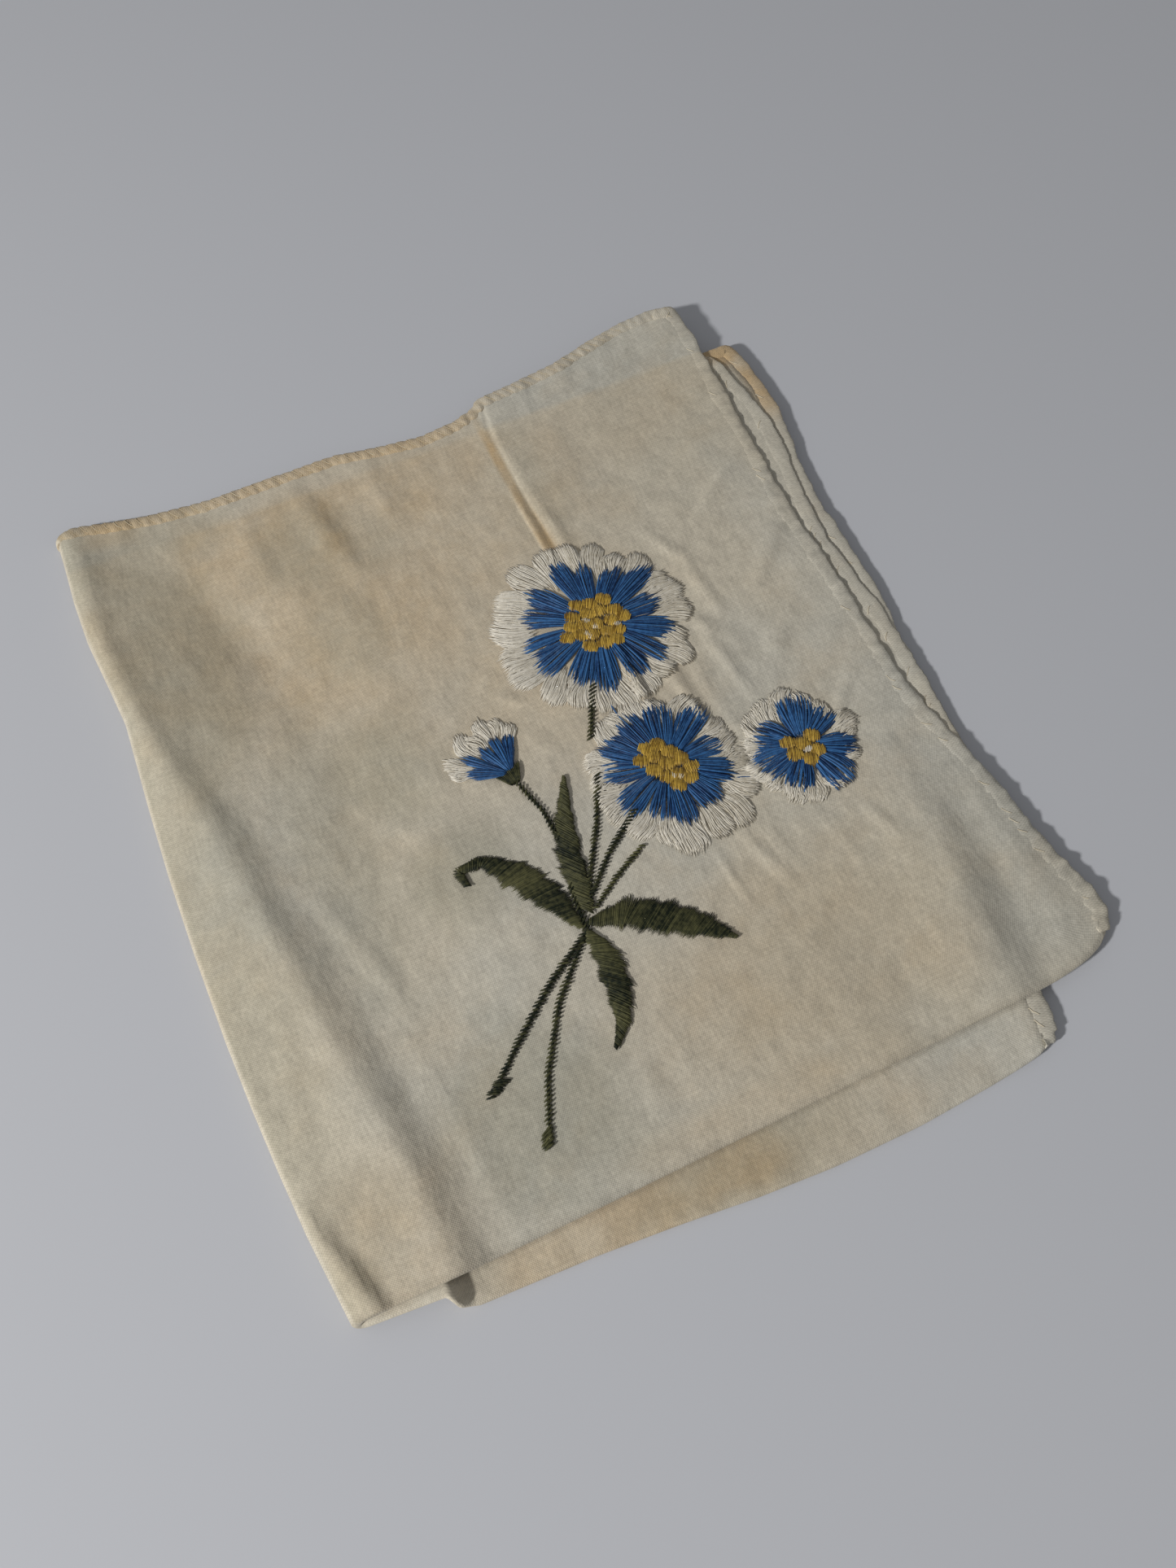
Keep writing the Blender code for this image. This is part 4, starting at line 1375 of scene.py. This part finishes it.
def build_embroidery():
    blue = Threads()
    yellow = Threads(flatness=0.9)
    white = Threads(sides=4, flatness=0.85)
    green = Threads(flatness=0.85)
    chance = np.random.default_rng(4)
    for flower in FLOWERS:
        centre = np.array([flower.x, flower.y]) * MM
        for petal in petals_of(flower, chance):
            add_petal(blue, centre, petal, flower.heart, chance)
        for lobe in lobes_of(flower, chance):
            add_lobe(white, centre, lobe, chance)
        for clump in blocks_of(flower, chance):
            add_clump(yellow, centre, clump, chance)
        for clump in knots_of(flower, chance):
            add_clump(white, centre, clump, chance)
    for spine, slant in zip(LEAVES, LEAF_SLANTS):
        add_leaf(green, spine, slant, chance)
    for stem in STEMS:
        add_stem(green, stem, STEM_SPACING, chance)
    for foot in FEET:
        add_stem(green, foot, FOOT_SPACING, chance)
    add_calyx(green, chance)
    for strand in STRANDS:
        line, _ = smooth_line(strand.places, 12)
        (blue if strand.blue else white).lay(line, 0.25 * MM, 0.13 * MM, strand.tone)
    return blue, yellow, white, green


# Stage

def plain(name, colour, roughness):
    graph = Graph(name)
    graph.shader.inputs["Base Color"].default_value = colour
    graph.shader.inputs["Roughness"].default_value = roughness
    return graph.material


FLOOR_COLOUR = (0.545, 0.55, 0.575, 1.0)
FLOOR_SIZE = 6.0
FLOOR_DROP = 0.02 * MM


def build_floor():
    bpy.ops.mesh.primitive_plane_add(size=FLOOR_SIZE, location=(0.0, 0.0, -FLOOR_DROP))
    floor = bpy.context.object
    floor.name = "floor"
    floor.data.materials.append(plain("pale_floor", FLOOR_COLOUR, 0.8))


# The key light, from the folded cloth's middle
KEY_DISTANCE = 1.0
KEY_HEADING = math.radians(13)
KEY_ELEVATION = math.radians(31)
KEY_SIZE = 0.087
KEY_ENERGY = 8.3
SKY_COLOUR = (0.95, 0.97, 1.0, 1.0)
SKY_STRENGTH = 0.262


def build_lights():
    light = bpy.data.lights.new("key", "AREA")
    light.shape = "DISK"
    light.size = KEY_SIZE
    light.energy = KEY_ENERGY
    lamp = bpy.data.objects.new("key", light)
    flat = KEY_DISTANCE * math.cos(KEY_ELEVATION)
    lamp.location = (
        -flat * math.cos(KEY_HEADING), -flat * math.sin(KEY_HEADING),
        KEY_DISTANCE * math.sin(KEY_ELEVATION))
    lamp.rotation_euler = (math.pi / 2 - KEY_ELEVATION, 0.0, KEY_HEADING - math.pi / 2)
    bpy.context.scene.collection.objects.link(lamp)
    world = bpy.data.worlds.new("studio")
    world.use_nodes = True
    background = world.node_tree.nodes["Background"]
    background.inputs["Color"].default_value = SKY_COLOUR
    background.inputs["Strength"].default_value = SKY_STRENGTH
    bpy.context.scene.world = world
    bpy.context.scene.view_settings.view_transform = "Standard"


def build_camera():
    lens = bpy.data.cameras.new("view")
    lens.sensor_width = SENSOR
    lens.lens = SENSOR * FOCAL_PIXELS / PHOTO_HEIGHT
    lens.clip_start = 0.01
    camera = bpy.data.objects.new("view", lens)
    camera.location = np.array(CAMERA_PLACE) * MM + CORNER
    camera.rotation_euler = (CAMERA_TILT, 0.0, CAMERA_TURN)
    bpy.context.scene.collection.objects.link(camera)
    bpy.context.scene.camera = camera


def dress(piece):
    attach(piece, "root")


def main():
    cloth, points, read, level = build_cloth(linen("aged_linen"))
    hem, stitches = build_hem(points, read, level, linen("hem_linen"))
    dress(cloth)
    dress(hem)
    whipping = stitches.build("hem_stitches", thread_material(HEM_THREAD))
    dress(whipping)
    blue, yellow, white, green = build_embroidery()
    dress(blue.build("blue_petals", thread_material(BLUE_THREAD)))
    dress(yellow.build("yellow_hearts", thread_material(YELLOW_THREAD)))
    dress(white.build("white_fringe", thread_material(WHITE_THREAD)))
    dress(green.build("green_leaves", thread_material(GREEN_THREAD)))
    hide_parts("handkerchief")
    build_floor()
    build_lights()
    build_camera()


main()
